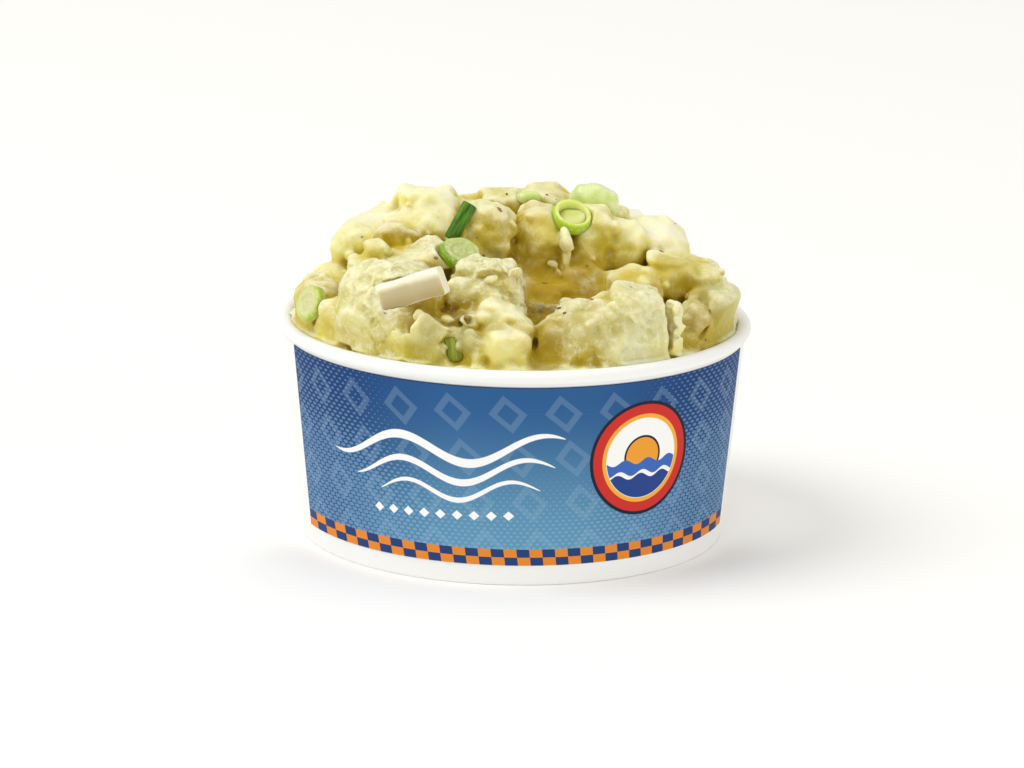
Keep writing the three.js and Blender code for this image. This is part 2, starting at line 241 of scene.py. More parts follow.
def mesh_object(name, points, faces, material, smooth=True, attributes=(), sharp=None):
    """A mesh from arrays: points in millimetres, faces all with the same number of corners."""
    mesh = bpy.data.meshes.new(name)
    mesh.vertices.add(len(points))
    mesh.vertices.foreach_set("co", (points * MM).astype(np.float32).ravel())
    mesh.loops.add(faces.size)
    mesh.loops.foreach_set("vertex_index", faces.astype(np.int32).ravel())
    mesh.polygons.add(len(faces))
    mesh.polygons.foreach_set("loop_start", np.arange(0, faces.size, faces.shape[1], dtype=np.int32))
    mesh.update(calc_edges=True)
    mesh.polygons.foreach_set("use_smooth", np.full(len(faces), smooth))
    for key, values in dict(attributes).items():
        store(mesh, key, values)
    if sharp is not None:
        mesh.set_sharp_from_angle(angle=math.radians(sharp))
    mesh.validate()
    mesh.materials.append(material.data)
    obj = bpy.data.objects.new(name, mesh)
    bpy.context.scene.collection.objects.link(obj)
    return obj


def piece(obj, slot, *nodes):
    """Makes an object part of the body, in place of CAD nodes."""
    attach(obj, "root")
    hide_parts(*nodes)
    return obj


def turn_matrix(turn):
    """Turns about X, then Y, then Z, in degrees."""
    x, y, z = (Matrix.Rotation(math.radians(a), 3, axis) for a, axis in zip(turn, "XYZ"))
    return np.array(z @ y @ x)


# ---- random fields
class Field:
    """A smooth random field with a spread of about 1: lattice values joined by cubic B-splines."""

    LOW, HIGH = np.array((-52.0, -52.0, 0.0)), np.array((52.0, 52.0, 76.0))
    GAIN = 5.2

    def __init__(self, cell, seed):
        self.cell = cell
        self.low = self.LOW - 2 * cell
        count = np.ceil((self.HIGH - self.low) / cell).astype(int) + 4
        self.values = np.random.default_rng(seed).uniform(-1, 1, count).astype(np.float32)

    def weights(self, axis, places):
        t = (places - self.low[axis]) / self.cell
        i = np.floor(t).astype(int)
        f = (t - i).astype(np.float32)
        return i, np.stack([(1 - f) ** 3, 3 * f**3 - 6 * f**2 + 4, -3 * f**3 + 3 * f**2 + 3 * f + 1, f**3]) / 6

    def on_grid(self, axes):
        out = self.values
        for axis, places in enumerate(axes):
            i, w = self.weights(axis, places)
            basis = np.zeros((len(places), out.shape[axis]), np.float32)
            for k in range(4):
                basis[np.arange(len(places)), i + k - 1] = w[k]
            out = np.moveaxis(np.tensordot(basis, out, (1, axis)), 0, axis)
        return out * self.GAIN

    def at(self, points):
        (i, wi), (j, wj), (k, wk) = (self.weights(axis, points[:, axis]) for axis in range(3))
        total = np.zeros(len(points), np.float32)
        for a, b, c in itertools.product(range(4), repeat=3):
            total += wi[a] * wj[b] * wk[c] * self.values[i + a - 1, j + b - 1, k + c - 1]
        return total * self.GAIN


HASH = np.array((73856093, 19349663, 83492791), np.uint64)
HASH_STEPS = ((15, 2246822519), (13, 3266489917)) * 2


def scrambled(cells, seed):
    """A random number from 0 to 1 for each whole-number place."""
    big = np.uint64(0xFFFFFFFF)
    mixed = np.bitwise_xor.reduce((cells + 4096).astype(np.uint64) * HASH, axis=1)
    mixed = (mixed ^ np.uint64(seed * 2654435761 % 2**32)) & big
    for shift, factor in HASH_STEPS:
        mixed = ((mixed ^ (mixed >> np.uint64(shift))) * np.uint64(factor)) & big
    return ((mixed ^ (mixed >> np.uint64(16))) & big).astype(np.float64) / 2**32


def packed_bumps(points, size, seed):
    """One bump in each cube of that size: 1 at its middle, falling to 0, and a random number for each."""
    base = np.floor(points / size).astype(np.int64)
    best = np.full(len(points), 9.0)
    kind = np.zeros(len(points))
    for offset in itertools.product((-1, 0, 1), repeat=3):
        cell = base + np.array(offset)
        draws = [scrambled(cell, seed + k) for k in range(3)]
        away = np.linalg.norm(points / size - cell - np.stack(draws, 1), axis=1)
        nearer = away < best
        best = np.where(nearer, away, best)
        kind = np.where(nearer, (draws[0] * 7.31 + draws[1] * 3.17) % 1, kind)
    return np.clip(1 - best, 0, 1), kind


# ---- surfaces from distance grids
def surface(values, low, step):
    """The surface where a grid of distances crosses zero: points and quads, open at the grid's border."""
    inside = values < 0
    size = np.array(values.shape) - 1
    corners = list(itertools.product((0, 1), repeat=3))
    count = np.zeros(size, np.uint8)
    for c in corners:
        count += inside[tuple(slice(c[k], size[k] + c[k]) for k in range(3))]
    cells = np.argwhere((count > 0) & (count < 8))
    number = np.full(size, -1, np.int32)
    number[tuple(cells.T)] = np.arange(len(cells))
    at_corner = {c: values[tuple((cells + c).T)] for c in corners}
    total, crossed = np.zeros((len(cells), 3)), np.zeros(len(cells))
    for a, axis in itertools.product(corners, range(3)):
        if not a[axis]:
            first, last = at_corner[a], at_corner[(*a[:axis], 1, *a[axis + 1:])]
            cuts = (first < 0) != (last < 0)
            total += cuts[:, None] * np.array(a, float)
            total[:, axis] += np.where(cuts, first / np.where(cuts, first - last, 1), 0)
            crossed += cuts
    quads = []
    for axis in range(3):
        up, over = (np.eye(3, dtype=int)[(axis + k) % 3] for k in (1, 2))
        ends = (slice(0, -1), slice(1, None))
        here, there = (inside[tuple(end if k == axis else slice(None) for k in range(3))] for end in ends)
        edge = np.argwhere(here != there)
        sides = [k for k in range(3) if k != axis]
        edge = edge[((edge[:, sides] > 0) & (edge[:, sides] < size[sides])).all(1)]
        quad = np.stack([number[tuple((edge - m).T)] for m in (0 * up, up, up + over, over)], 1)
        quads.append(np.where(here[tuple(edge.T)][:, None], quad, quad[:, ::-1]))
    return low + step * (cells + total / crossed[:, None]), np.concatenate(quads)


def blurred(values, sigma):
    """Gaussian blur, sigma in grid steps."""
    for axis, n in enumerate(values.shape):
        gap = np.arange(n)[:, None] - np.arange(n)[None]
        kernel = np.exp(-0.5 * (gap / sigma) ** 2).astype(np.float32)
        kernel /= kernel.sum(1, keepdims=True)
        values = np.moveaxis(np.tensordot(kernel, values, (1, axis)), 0, axis)
    return values


def smooth_min(a, b, k):
    h = np.maximum(k - np.abs(a - b), 0) / k
    return np.minimum(a, b) - h * h * k * 0.25


def smooth_max(a, b, k):
    return -smooth_min(-a, -b, k)


# ---- shapes of the toppings
def rounded(q, edge):
    """Distance from a box or a cylinder with rounded edges; q is how far a place is past each side."""
    return np.sqrt(sum(np.maximum(c, 0) ** 2 for c in q)) + np.minimum(np.maximum.reduce(q), 0) - edge


def rounded_box(p, half, edge):
    return rounded([np.abs(p[k]) - half[k] + edge for k in range(3)], edge)


def block(p, size):
    x, y, z = p
    lean = 1 + 0.04 * np.sin(0.5 * x + 1.0)
    return rounded_box((x + 0.06 * z, y * lean, z - 0.16 * np.sin(0.45 * x)), [s / 2 for s in size], 0.55)


def slice_shape(p, radius, thickness):
    x, y, z = p
    angle = np.arctan2(y, x)
    r = np.sqrt(x * x + (y * 1.03) ** 2) + 0.12 * np.sin(3 * angle + 0.7) + 0.07 * np.sin(7 * angle)
    edge = thickness * 0.3
    share = np.clip(r / radius, 0, 1)
    groove = 0.09 * np.cos(share * 5 * np.pi) + 0.25 * (1 - share**2) * (z > 0)
    return rounded([r - radius + edge, np.abs(z) - thickness / 2 + edge], edge) + groove * (r < radius - 0.4)


def ring_shape(p, radius, wall, height):
    x, y, z = p
    r = np.sqrt(x * x + (y * 1.05) ** 2) + 0.14 * np.sin(2 * np.arctan2(y, x) + 1.0)
    return (np.sqrt(((r - radius + wall / 2) / (wall / 2)) ** 2 + (z / (height / 2)) ** 2) - 1) * wall / 2


def strip_shape(p, width, length, thickness):
    x, y, z = p
    bend = 1.2 * (z / length) ** 2 - 0.6 * (1 - np.clip(2 * x / width, -1, 1) ** 2)
    return rounded_box((x, y - bend, z), (width / 2, thickness / 2, length / 2), thickness * 0.45)


def chunk_shape(p, half, power):
    share = sum(np.abs(p[k] / half[k]) ** power for k in range(3)) ** (1 / power)
    return np.sqrt(sum(c * c for c in p)) * (1 - 1 / np.maximum(share, 1e-3))


def lobed_shape(p, half, power):
    x, _, z = p
    return chunk_shape(p, half, power) + 0.16 * (1 + np.sin(1.5 * x + 0.5 * z) * np.cos(1.1 * z - 0.4))


# Name, look, middle, turns, half sizes of its box, shape, and the sizes that the shape takes.
TOPPINGS = [
    ("egg_white", "egg", (-20.4, -36.3, 58.9), (-5, -19, -12), (6.7, 2.3, 2.8), block, (13.4, 4.6, 5.6)),
    ("onion_leaf", "leaf", (-11.4, -12, 67.3), (-18, 29, 0), (1.6, 1.6, 4.2), strip_shape, 3.1, 8.4, 0.8),
    ("onion_slice", "onion", (-11.3, -18.5, 62), (27, 16, 0), (4.2, 4.2, 1.3), slice_shape, 4.2, 2.6),
    ("onion_ring_front", "ring", (11.3, -4.5, 67), (30, 14, 0), (4.3, 4.3, 1.5), ring_shape, 4.3, 1.4, 3.0),
    ("onion_piece_top", "chunk", (16, 5.5, 67.8), (0, 12, 0), (5.3, 3.4, 4.4), lobed_shape, (5.4, 3.5, 4.25), 2.2),
    ("onion_slice_left", "faded", (-41.4, -20, 51.6), (0, -66, 36), (3.7, 3.7, 1.2), slice_shape, 3.7, 2.4),
    ("onion_leaf_front", "pale_leaf", (-12, -41, 47.8), (-8, -14, -10), (1.7, 1.6, 2.5), strip_shape, 3.4, 5.0, 0.8),
    ("onion_piece_back", "chunk", (2.4, 7, 68.4), (0, 0, 0), (2.5, 1.6, 1.4), chunk_shape, (2.5, 1.6, 1.4), 2.4),
    ("egg_white_rear", "egg", (22, 25, 59), (24, 10, 38), (5.5, 2.5, 2.7), block, (11, 5, 5.4)),
    ("onion_ring_rear", "ring", (-8, 28, 60.5), (-38, -8, 0), (4.6, 4.6, 1.6), ring_shape, 4.6, 1.4, 3.2),
    ("onion_slice_rear", "onion", (-33, 20, 56), (-42, -40, 0), (4.0, 4.0, 1.3), slice_shape, 4.0, 2.6),
    ("onion_leaf_rear", "leaf", (7, 35, 54.5), (24, 40, 172), (1.6, 1.6, 4.0), strip_shape, 3.2, 8.0, 0.8),
]

# ---- the salad
CUP_HEIGHT = 45.3
CORE_DOME = [(46.4, 44.9), (45.5, 45.5), (41, 46.9), (35, 49), (26, 51.5), (14, 53.4), (0, 54)]
MARGIN = 3.5
TINTS = {
    "pale": 0xF0EAB2, "cream": 0xE8DE8C, "warm": 0xD2C454, "tan": 0xC7B43A, "gold": 0xBCA40C, "grey": 0xBAB46C,
    "mash": 0xD8D08A,
}


def turned_into(rot, at, x, y, z):
    """Places as seen from something turned, with its middle at nothing."""
    p = [x - at[0], y - at[1], z - at[2]]
    return [sum(rot[k, axis] * p[k] for k in range(3)) for axis in range(3)]


class Lump:
    """A piece of potato. Grain is how granular it is, and a higher power makes it squarer."""

    def __init__(self, at, half, tint, grain, turn=(0, 0, 0), power=3):
        self.at, self.half, self.power = at, half, power
        self.tint, self.grain = np.array(srgb(TINTS[tint])), grain
        self.rot = turn_matrix(turn)
        span = np.abs(self.rot) @ np.array(half)
        self.box = np.array(at) - span - MARGIN, np.array(at) + span + MARGIN

    def distance(self, x, y, z):
        """Roughly the distance from its surface, less than nothing inside it."""
        return chunk_shape(turned_into(self.rot, self.at, x, y, z), self.half, self.power)


# Middle, half sizes, tint and grain of each piece, and its turns and power where they aren't the usual ones.
PIECES = [
    # The mound under the top pieces, behind the hollow.
    ((-3, 7, 54.5), (26, 18, 9.5), "warm", 0.2, (0, 0, 0), 2.4),
    # Back left: a large coated piece with a knob on its top and a lobe at its front.
    ((-23.2, 2, 59.2), (12.2, 11, 7.5), "cream", 0.1, (0, -13, 8)),
    ((-18.3, 6.5, 66.5), (6.9, 7, 4.6), "cream", 0.1),
    ((-19, -2.6, 63.4), (7.6, 6, 3.8), "cream", 0.1, (24, -8, 0)),
    ((-23.5, -8.5, 61), (6, 5, 4.8), "gold", 0.05, (0, 18, 0)),
    ((-32, -2, 58), (5.9, 8, 5.9), "cream", 0.15, (0, -35, 0)),
    # Left side, down to the rim.
    ((-35, -4, 49.8), (5.9, 10, 5.9), "cream", 0.2, (0, -22, 10)),
    ((-29.8, -15.5, 60.2), (2.7, 3, 3.4), "warm", 0),
    ((-41, -14, 48.8), (4.5, 6.5, 6.4), "tan", 0.1, (0, 0, 20)),
    ((-35.8, -24.5, 47.5), (3.6, 5.5, 6.6), "cream", 0.4, (0, 0, 30)),
    # Front left: the large granular piece and the slope behind its top.
    ((-24.6, -26, 51.4), (11, 11, 10), "mash", 1, (-12, 0, -30), 3.8),
    ((-18.6, -16.5, 60), (6.6, 6, 3.6), "mash", 0.9, (8, -24, 0)),
    ((-28, -18, 56.6), (7.4, 7, 4), "mash", 0.9, (10, -12, 0)),
    # Centre, from the top down to the rim.
    ((-5.7, -7, 63.5), (5, 6, 7), "tan", 0.15), ((-6, -23, 59.8), (6.8, 5.5, 3.8), "mash", 1, (0, 3, 0), 3.6),
    ((-7, -26.5, 54.6), (8, 7, 5.5), "mash", 1, (0, 12, -10)),
    ((-0.6, -25, 53.6), (3.6, 7, 8), "mash", 1, (0, -16, 0)),
    ((-3, -34.5, 52), (5.6, 5, 3.8), "pale", 0.1, (0, 15, 0)),
    ((-1.8, -39.7, 46.8), (5.4, 5.6, 5.4), "cream", 0.2), ((1.5, -35.5, 50), (3, 4, 3.5), "cream", 0.6),
    # Front, left of the middle: small flaky pieces.
    ((-16.8, -38, 50.3), (2.6, 2, 4.2), "tan", 0.1, (0, 10, 0)),
    ((-17.5, -39.4, 46.4), (5, 3.4, 3.2), "tan", 0.2), ((-22.3, -38.4, 47), (2.8, 2.6, 2.8), "cream", 0.2),
    ((-19.8, -36.5, 51.8), (1.8, 1.8, 2), "tan", 0), ((-10.8, -36, 51.6), (3.3, 2.6, 1.7), "tan", 0.1),
    ((-8.2, -40.4, 46.7), (2.8, 3, 3.6), "tan", 0.2), ((-13, -34.5, 48), (6.4, 6, 5.2), "tan", 0.3),
    # Right of the middle: the hollow's floor, and the upright pieces behind it.
    ((9.5, -10.6, 53), (9.5, 6.4, 4.6), "gold", 0.1, (22, 0, 0)), ((4.2, -3, 62), (5.4, 6, 8), "gold", 0.1),
    ((9.2, -8.8, 60), (1.0, 2.8, 5.8), "pale", 0.6, (0, 3, 14)),
    ((8.4, -9.8, 55), (1.8, 2.6, 2.4), "pale", 0.5, (0, 24, 0)), ((15.8, -2, 60.5), (4.8, 6, 8.2), "warm", 0.1),
    ((22.6, -1, 59.4), (4.8, 6, 6.3), "warm", 0.1),
    # Right side, down to the rim.
    ((27.8, 5, 57.9), (8.2, 8.5, 6.1), "pale", 0.1, (0, 16, 0)),
    ((34, -5, 54.3), (7.3, 7, 5.5), "warm", 0.1, (0, 16, 0)), ((38.6, -3.5, 55.4), (3.4, 4, 3.4), "gold", 0),
    ((39.8, -12.5, 47.4), (5.6, 8, 6.7), "grey", 0.1, (0, 10, -15)),
    ((36.5, -21, 47), (4.5, 5.5, 6), "gold", 0.2), ((32.3, -28.5, 50), (1.9, 3, 5.4), "cream", 0.7, (0, 4, 0)),
    ((32.4, -31.3, 46.3), (2.5, 2.6, 2.8), "cream", 0.5),
    ((24.3, -13.5, 54.8), (6.6, 6, 4.4), "cream", 0.2, (0, -5, 0)),
    # Front right: the largest granular piece.
    ((18.2, -31, 46.8), (12.2, 9.8, 9.5), "mash", 1, (-7, -4, 16), 4.5),
    ((9, -33.5, 48.5), (4.8, 7, 5.8), "tan", 0.4),
    # Behind the top.
    ((-4, 9, 65.5), (4.6, 5, 3.8), "warm", 0.1), ((5.5, 12, 65.5), (5.2, 5.5, 3.8), "warm", 0.1),
    ((17.5, 8, 63.2), (5.5, 5, 3.9), "warm", 0.1),
]

# The back: rows of pieces by the same rule as the solids': radius, height, angles, how many, half size.
BACK_ROWS = [(37, 48.8, 12, 168, 8, 7.4), (26, 56.2, 24, 152, 5, 7.4), (15, 62, 50, 140, 3, 6.6)]
BACK_SEED, BACK_LEAN, BACK_SPREAD, BACK_DROP, BACK_POWER = 20, 30, 2, 2.6, 3.8
BACK_KINDS = (("cream", 0.1), ("mash", 1), ("pale", 0.2), ("warm", 0.3), ("mash", 0.8))


def back_pieces():
    state = BACK_SEED

    def draw():
        nonlocal state
        state = (state * 1664525 + 1013904223) % 2**32
        return state / 2**32

    def around(spread):
        return spread * (draw() - 0.5)

    for radius, height, start, stop, count, half in BACK_ROWS:
        for i in range(count):
            angle = math.radians(start + (stop - start) * (i + 0.4 * draw()) / (count - 0.6))
            out = radius + around(BACK_SPREAD)
            level = height + around(BACK_SPREAD) - BACK_DROP * math.cos(angle) ** 4
            size = tuple(half * scale * (0.75 + 0.4 * draw()) for scale in (1, 1, 0.85))
            turn = (around(BACK_LEAN), around(BACK_LEAN), 180 * draw())
            kind = BACK_KINDS[int(5 * (out * 7.3 % 1))]
            yield Lump((out * math.cos(angle), out * math.sin(angle), level), size, *kind, turn, BACK_POWER)


# Smaller forms on the pieces, given in the same way.
FORMS = [
    ((24.2, -30.4, 54.2), (5.4, 6.4, 4.5), "mash", 1, (0, 8, 12), 4),
    ((12, -33.4, 53), (3.6, 3.4, 2.8), "mash", 1, (0, -6, 0), 3.4),
    ((9.8, -36.2, 48.2), (5, 4.6, 5.6), "tan", 0.35, (0, 8, -6), 4.5),
    ((11.2, -5.2, 66.3), (3.1, 3.1, 1.5), "pale", 0.1, (30, 14, 0), 2.5),
    ((-4.5, -27.5, 61.3), (3.4, 2.2, 1.3), "mash", 1, (0, 0, 8)),
    ((-9.6, -25.6, 61.7), (2.2, 2, 1.4), "mash", 1, (0, 20, 0)),
    ((-6, -30.6, 58.4), (1.5, 1.2, 1.3), "mash", 1),
    ((-17, -39.6, 50.6), (1.9, 1.1, 3.6), "pale", 0.3, (0, 12, -14), 2.2),
    ((-23.6, -39, 47.6), (1.7, 1.6, 2.6), "pale", 0.4, (0, -10, 20), 2.4),
    ((-26.8, -37.2, 46.6), (1.8, 1.4, 1.8), "pale", 0.5, (0, 0, 30), 2.4),
    ((-18.2, -41.3, 46.8), (1.1, 1, 2.8), "warm", 0.3, (0, 6, 0), 2.4),
    ((-15.6, -41.4, 46.8), (1, 0.9, 2.6), "pale", 0.3, (0, -8, 10), 2.4),
    ((-8.8, -41, 48.4), (1.4, 1.2, 3.2), "tan", 0.3, (0, -14, 0), 2.4),
    ((-6.4, -38, 53), (2, 1.5, 1.3), "cream", 0.4, (0, 20, 0), 2.6),
    ((-13, -38.6, 53.4), (1.5, 1.1, 1), "warm", 0.2, (0, 30, 0), 2.6),
    ((32.6, -29.6, 53.4), (1.7, 1.6, 2.4), "mash", 0.8),
    ((31.4, -7.6, 59.2), (4.2, 3, 1.3), "pale", 0.6, (0, 10, 0)),
    ((-25.5, -38.6, 45.8), (4.2, 3, 2.4), "mash", 1, (0, 0, 20)),
    ((-17, -41.3, 51.4), (3.1, 0.7, 3.1), "pale", 0.4, (-9, 45, 8), 5),
    ((-18.6, -39.8, 49.6), (1.9, 0.5, 2.3), "pale", 0.4, (-10, 24, -24), 5),
    ((-20.6, -38.6, 51), (1.5, 0.5, 1.7), "warm", 0.2, (-20, 8, 40), 4),
    ((-12.6, -38.6, 51.2), (2.6, 0.5, 1.5), "pale", 0.3, (-30, -16, -6), 4),
    ((-9.2, -38.4, 52.6), (2.2, 0.6, 1.3), "pale", 0.4, (-20, 22, 14), 4),
    ((-23.6, -40, 48.6), (1.9, 0.6, 2.4), "pale", 0.6, (-16, -20, 16), 4.5),
]

# Hollows: middle and half sizes.
HOLLOWS = [((12.4, -22.5, 59.6), (8, 8, 6.4)), ((5.4, -26, 58.2), (4, 8.4, 6.6))]

# Creases: radius, and points along the middle.
CREASES = [
    (1.1, [(-9.9, -33.2, 57.4), (-8.7, -31.3, 59.6), (-7.1, -29.6, 60.4),
           (-4.7, -28.9, 60.6), (-2.7, -29.4, 60.2), (-2.2, -31.2, 58)]),
    (0.9, [(-12.6, -38.6, 52.6), (-10.4, -37.6, 53), (-8.8, -38.8, 53.4)]),
    (0.7, [(-11, -39, 52.4), (-10.6, -36.4, 52)]), (1.5, [(-15.5, -34.8, 53.6), (-12.4, -33.6, 54.6)]),
    (1.2, [(-35.8, -30, 56.5), (-36.3, -31.4, 52.5), (-36.4, -31.4, 46.8)]),
    (0.8, [(30.8, -31, 55), (30.9, -32.4, 47)]), (2.4, [(7.5, -20, 57.2), (5.2, -26, 53.4), (4.3, -33, 51)]),
    (0.7, [(4.1, -33, 51.6), (4.2, -39.5, 48.6)]),
    (1.0, [(37.2, -8.5, 59.4), (38.2, -15.4, 55.8), (38.2, -22, 51.6), (38, -26, 47.6)]),
    (0.9, [(-1.5, -42.5, 53.2), (-6.2, -40.6, 52.6)]),
]

# Patches of other colour: middle, reach, colour on a screen, and how much of it. Many are painted shade in the
# hollows and under pieces, many are painted highlight on the tops, and the rest are the potato's own tone.
PATCHES = [
    (8, -16, 55, 7.5, 0xB89816, 1), (6.4, -38.4, 51.4, 3.2, 0xA0861E, 0.8),
    (37.5, -14.5, 54.5, 4, 0xA68E2A, 0.9), (38, -23, 50.5, 3.4, 0x90781E, 0.9),
    (20, -31.5, 58.2, 3.4, 0xD0C46C, 0.6), (30, -1.5, 61.8, 4.5, 0xF0EBC4, 0.8),
    (30, -9.8, 58.4, 4, 0xC4AE38, 0.9), (-35.6, -4, 60.5, 4, 0xF0E9BA, 0.6),
    (-4.5, -29.5, 58.6, 3, 0xB09E3C, 0.7), (-2.5, -41.5, 53, 2, 0xBEAE5A, 0.7),
    (-11.5, -24, 58.5, 3.2, 0xD0C26E, 0.7), (27, -40, 51, 6.5, 0xE8EAD4, 0.75),
    (-2, -45, 47.5, 3, 0xEEEAC4, 0.7), (-1.8, -43, 52.4, 1.8, 0xF2F0CE, 0.8),
    (-0.5, -36.8, 55.6, 2, 0xF6F4D8, 0.8), (-6.6, -40.8, 50, 2, 0xB0A45C, 0.7),
    (-28, 4, 66.5, 6.5, 0xF8F6DC, 0.8), (15.5, -3, 68.5, 4, 0xF0F0C8, 0.8),
    (-5.5, -6, 70.5, 3.6, 0xF6F2CC, 0.7), (4.5, -3, 70, 3.4, 0xF4F0C4, 0.7), (5, 10, 69, 4, 0xF2F0C4, 0.7),
    (10.9, -2.5, 68, 3.2, 0xD4D874, 1), (4.6, -27, 52, 5.5, 0x684C00, 1), (9, -29.5, 53.6, 2.4, 0x967A1E, 0.9),
    (-4, -31, 56.6, 4.4, 0xBEAA4C, 0.6), (28, -17, 57.6, 4, 0xC4AA28, 0.8),
    (5.5, -13, 57.5, 4.5, 0xB0900C, 0.9), (15, -11, 57, 4.4, 0xB69814, 0.9),
    (15.8, -15.5, 56, 3.8, 0x967808, 0.95), (18.4, -17.4, 56.6, 2.6, 0x9C8010, 0.9),
    (-20, -20, 61.2, 3, 0xF0EAB8, 0.7), (-2.5, -30, 57.5, 3, 0xCCBA54, 0.7),
    (-3.6, -38.8, 52, 3, 0xC4B66A, 0.85), (-19, -21, 61.6, 2.6, 0xF2ECBC, 0.8),
    (-36.8, -31, 46.8, 3, 0xF0E8B2, 0.8), (5.8, -43.5, 46, 3, 0xA08C32, 0.9), (22, -9, 56.5, 4, 0xBEA222, 0.8),
    (5, -8.5, 65.4, 3.8, 0xE2D474, 0.8), (-16.5, -36.5, 54.8, 4.5, 0xB89822, 0.9),
    (-12.5, -34, 54.4, 3, 0x96740E, 0.8), (-35, -10, 58, 3, 0xE2D882, 0.7), (-36, -28, 47, 3, 0xE4DA98, 0.7),
    (-24, -13, 61.2, 3.6, 0xCEB836, 0.9), (-30, -16.6, 60.6, 3, 0xDACA60, 0.7),
    (-38.8, -27.5, 49.6, 3.2, 0xC4A82C, 0.9), (-33.4, -34, 48, 3.6, 0xE8E0AC, 0.7),
    (-44, -14, 49, 5, 0xD8C068, 0.8), (4.4, -40, 49, 4.6, 0xAC9226, 0.9), (39.5, -22, 48, 4.6, 0xBAA63C, 0.9),
    (30, -27, 50, 3.2, 0xA68C1E, 0.8), (23.5, -16.5, 58.4, 4.4, 0xCEB634, 0.9),
    (-7, -13.4, 64, 3.4, 0xCEBA54, 0.7), (35.6, -9.6, 58, 5, 0xC4B250, 0.8),
    (-20.2, -39.6, 52.2, 1.5, 0xC8A474, 0.7), (-10.2, -37.6, 52.4, 1.6, 0x785814, 0.8),
    (22.4, -40.2, 55.2, 1.7, 0x9EA26E, 0.75), (44, -12, 53.6, 4.2, 0xD8DAC4, 0.8),
    (24, -5, 65, 4.6, 0xF2EEC4, 0.8), (14.5, -38.5, 52.6, 5, 0xBCAC5E, 0.85), (22, -38, 55.6, 4, 0xCCC07A, 0.6),
    (37, -20, 52.6, 3.6, 0xB0A050, 0.7), (42, -18, 51, 3.6, 0xB8AC68, 0.8), (-9.6, -40.6, 49, 3, 0xA0903C, 0.7),
    (-16, -41.2, 49.6, 4.6, 0xB0A96A, 0.9), (-17.6, -41.4, 54, 1.8, 0xD6D09E, 0.8),
    (-20.5, -42, 50.6, 1.6, 0xD8D49E, 0.7), (-10.2, -41.6, 50.2, 3.4, 0x8A8630, 0.9),
    (-21.6, -36, 55.2, 3.2, 0xAA8E20, 0.9), (29.8, -32.5, 51, 3, 0xDEE4D4, 0.6),
    (-3.6, -13, 59.6, 2.6, 0xD6D6BC, 0.6), (9.2, -11.4, 60, 2.2, 0xF0EEC4, 0.8),
    (11.2, -6.4, 67, 3, 0xCED476, 0.8), (28, 1, 65, 6, 0xF8F5DE, 0.6), (-18, 4, 70, 6.5, 0xF8F6D8, 0.8),
]

# Painted shade laid into a tint on steep and on hollow places, and how much less of it on granular faces.
PAINTED_SHADE_COLOUR = (0.88, 0.82, 0.09)
PAINTED_SIDE_SHADE, COAT_LESS = 0.85, 0.8

LARGE = [Lump(*row) for row in PIECES] + list(back_pieces())
SMALL = [Lump(*row) for row in FORMS]
STEP = 0.34
HEAP_LOW, HEAP_HIGH = (-47.3, -47.3, 43.5), (47.3, 47.3, 72.7)
HEAP_FACES = 190000
CORE_RINGS = [(45.64, 42.4), (43.09, 4.6)]
SEAT, CLEAR_SPAN, CLEAR_FROM = 0.15, 5, Vector((0, 0, 40))
CLEARING = (0.8, 1.6, 2.4, 3.4, 4.4)
CLEAR_LESS = {"onion_slice_left": 0, "onion_leaf_front": 0, "egg_white": 2}
ROLL_MIDDLE, ROLL_HALF, ROLL_GAP = (47.44, 43.85), 1.45, 0.05
REACH_RADIUS, REACH_HEIGHT, REACH_SLOPE, REACH_FOOT = 45.9, 48.0, 0.32, 45.8
WARPS = [((8, 11 + k, 0.5), (3.6, 14 + k, 0.3)) for k in range(3)]
COATED_JOIN, PIECE_JOIN, FORM_JOIN, BIT_JOIN = 1.5, 0.6, 0.4, 0.35
HOLLOW_JOIN, CREASE_JOIN, SEAT_JOIN, RIM_JOIN = 1.0, 0.7, 0.5, 0.2
RELIEF = [(2.6, 21, 0.27), (1.2, 22, 0.14)]
LUMPS, LUMP_LEVEL, LUMP_TOP = [(6.0, 23, 0.5), (2.6, 24, 0.26)], 1.0, 1.6
SHRINK, BIT_POWER, RIM_NEAR = 0.12, 2.8, 0.5


def cut_out(axes, low, high):
    return tuple(slice(np.searchsorted(axes[k], low[k]), np.searchsorted(axes[k], high[k])) for k in range(3))


def capsule(p, a, b):
    a, b = np.array(a, float), np.array(b, float)
    along = b - a
    q = [p[k] - a[k] for k in range(3)]
    t = np.clip(sum(q[k] * along[k] for k in range(3)) / (along @ along), 0, 1)
    return np.sqrt(sum((q[k] - t * along[k]) ** 2 for k in range(3)))


def rim_limit(radius, z):
    """Less than nothing where the salad may be: inside the cup, or over its rolled rim."""
    middle, level = ROLL_MIDDLE
    roll = ROLL_HALF + ROLL_GAP - np.sqrt((radius - middle) ** 2 + (z - level) ** 2)
    cup = np.where(z < level, radius - middle + ROLL_HALF + ROLL_GAP, roll)
    slope = REACH_SLOPE * np.maximum(z - REACH_HEIGHT, 0)
    return np.maximum(cup, radius - REACH_RADIUS - slope - 2 * np.maximum(REACH_FOOT - z, 0)).astype(np.float32)


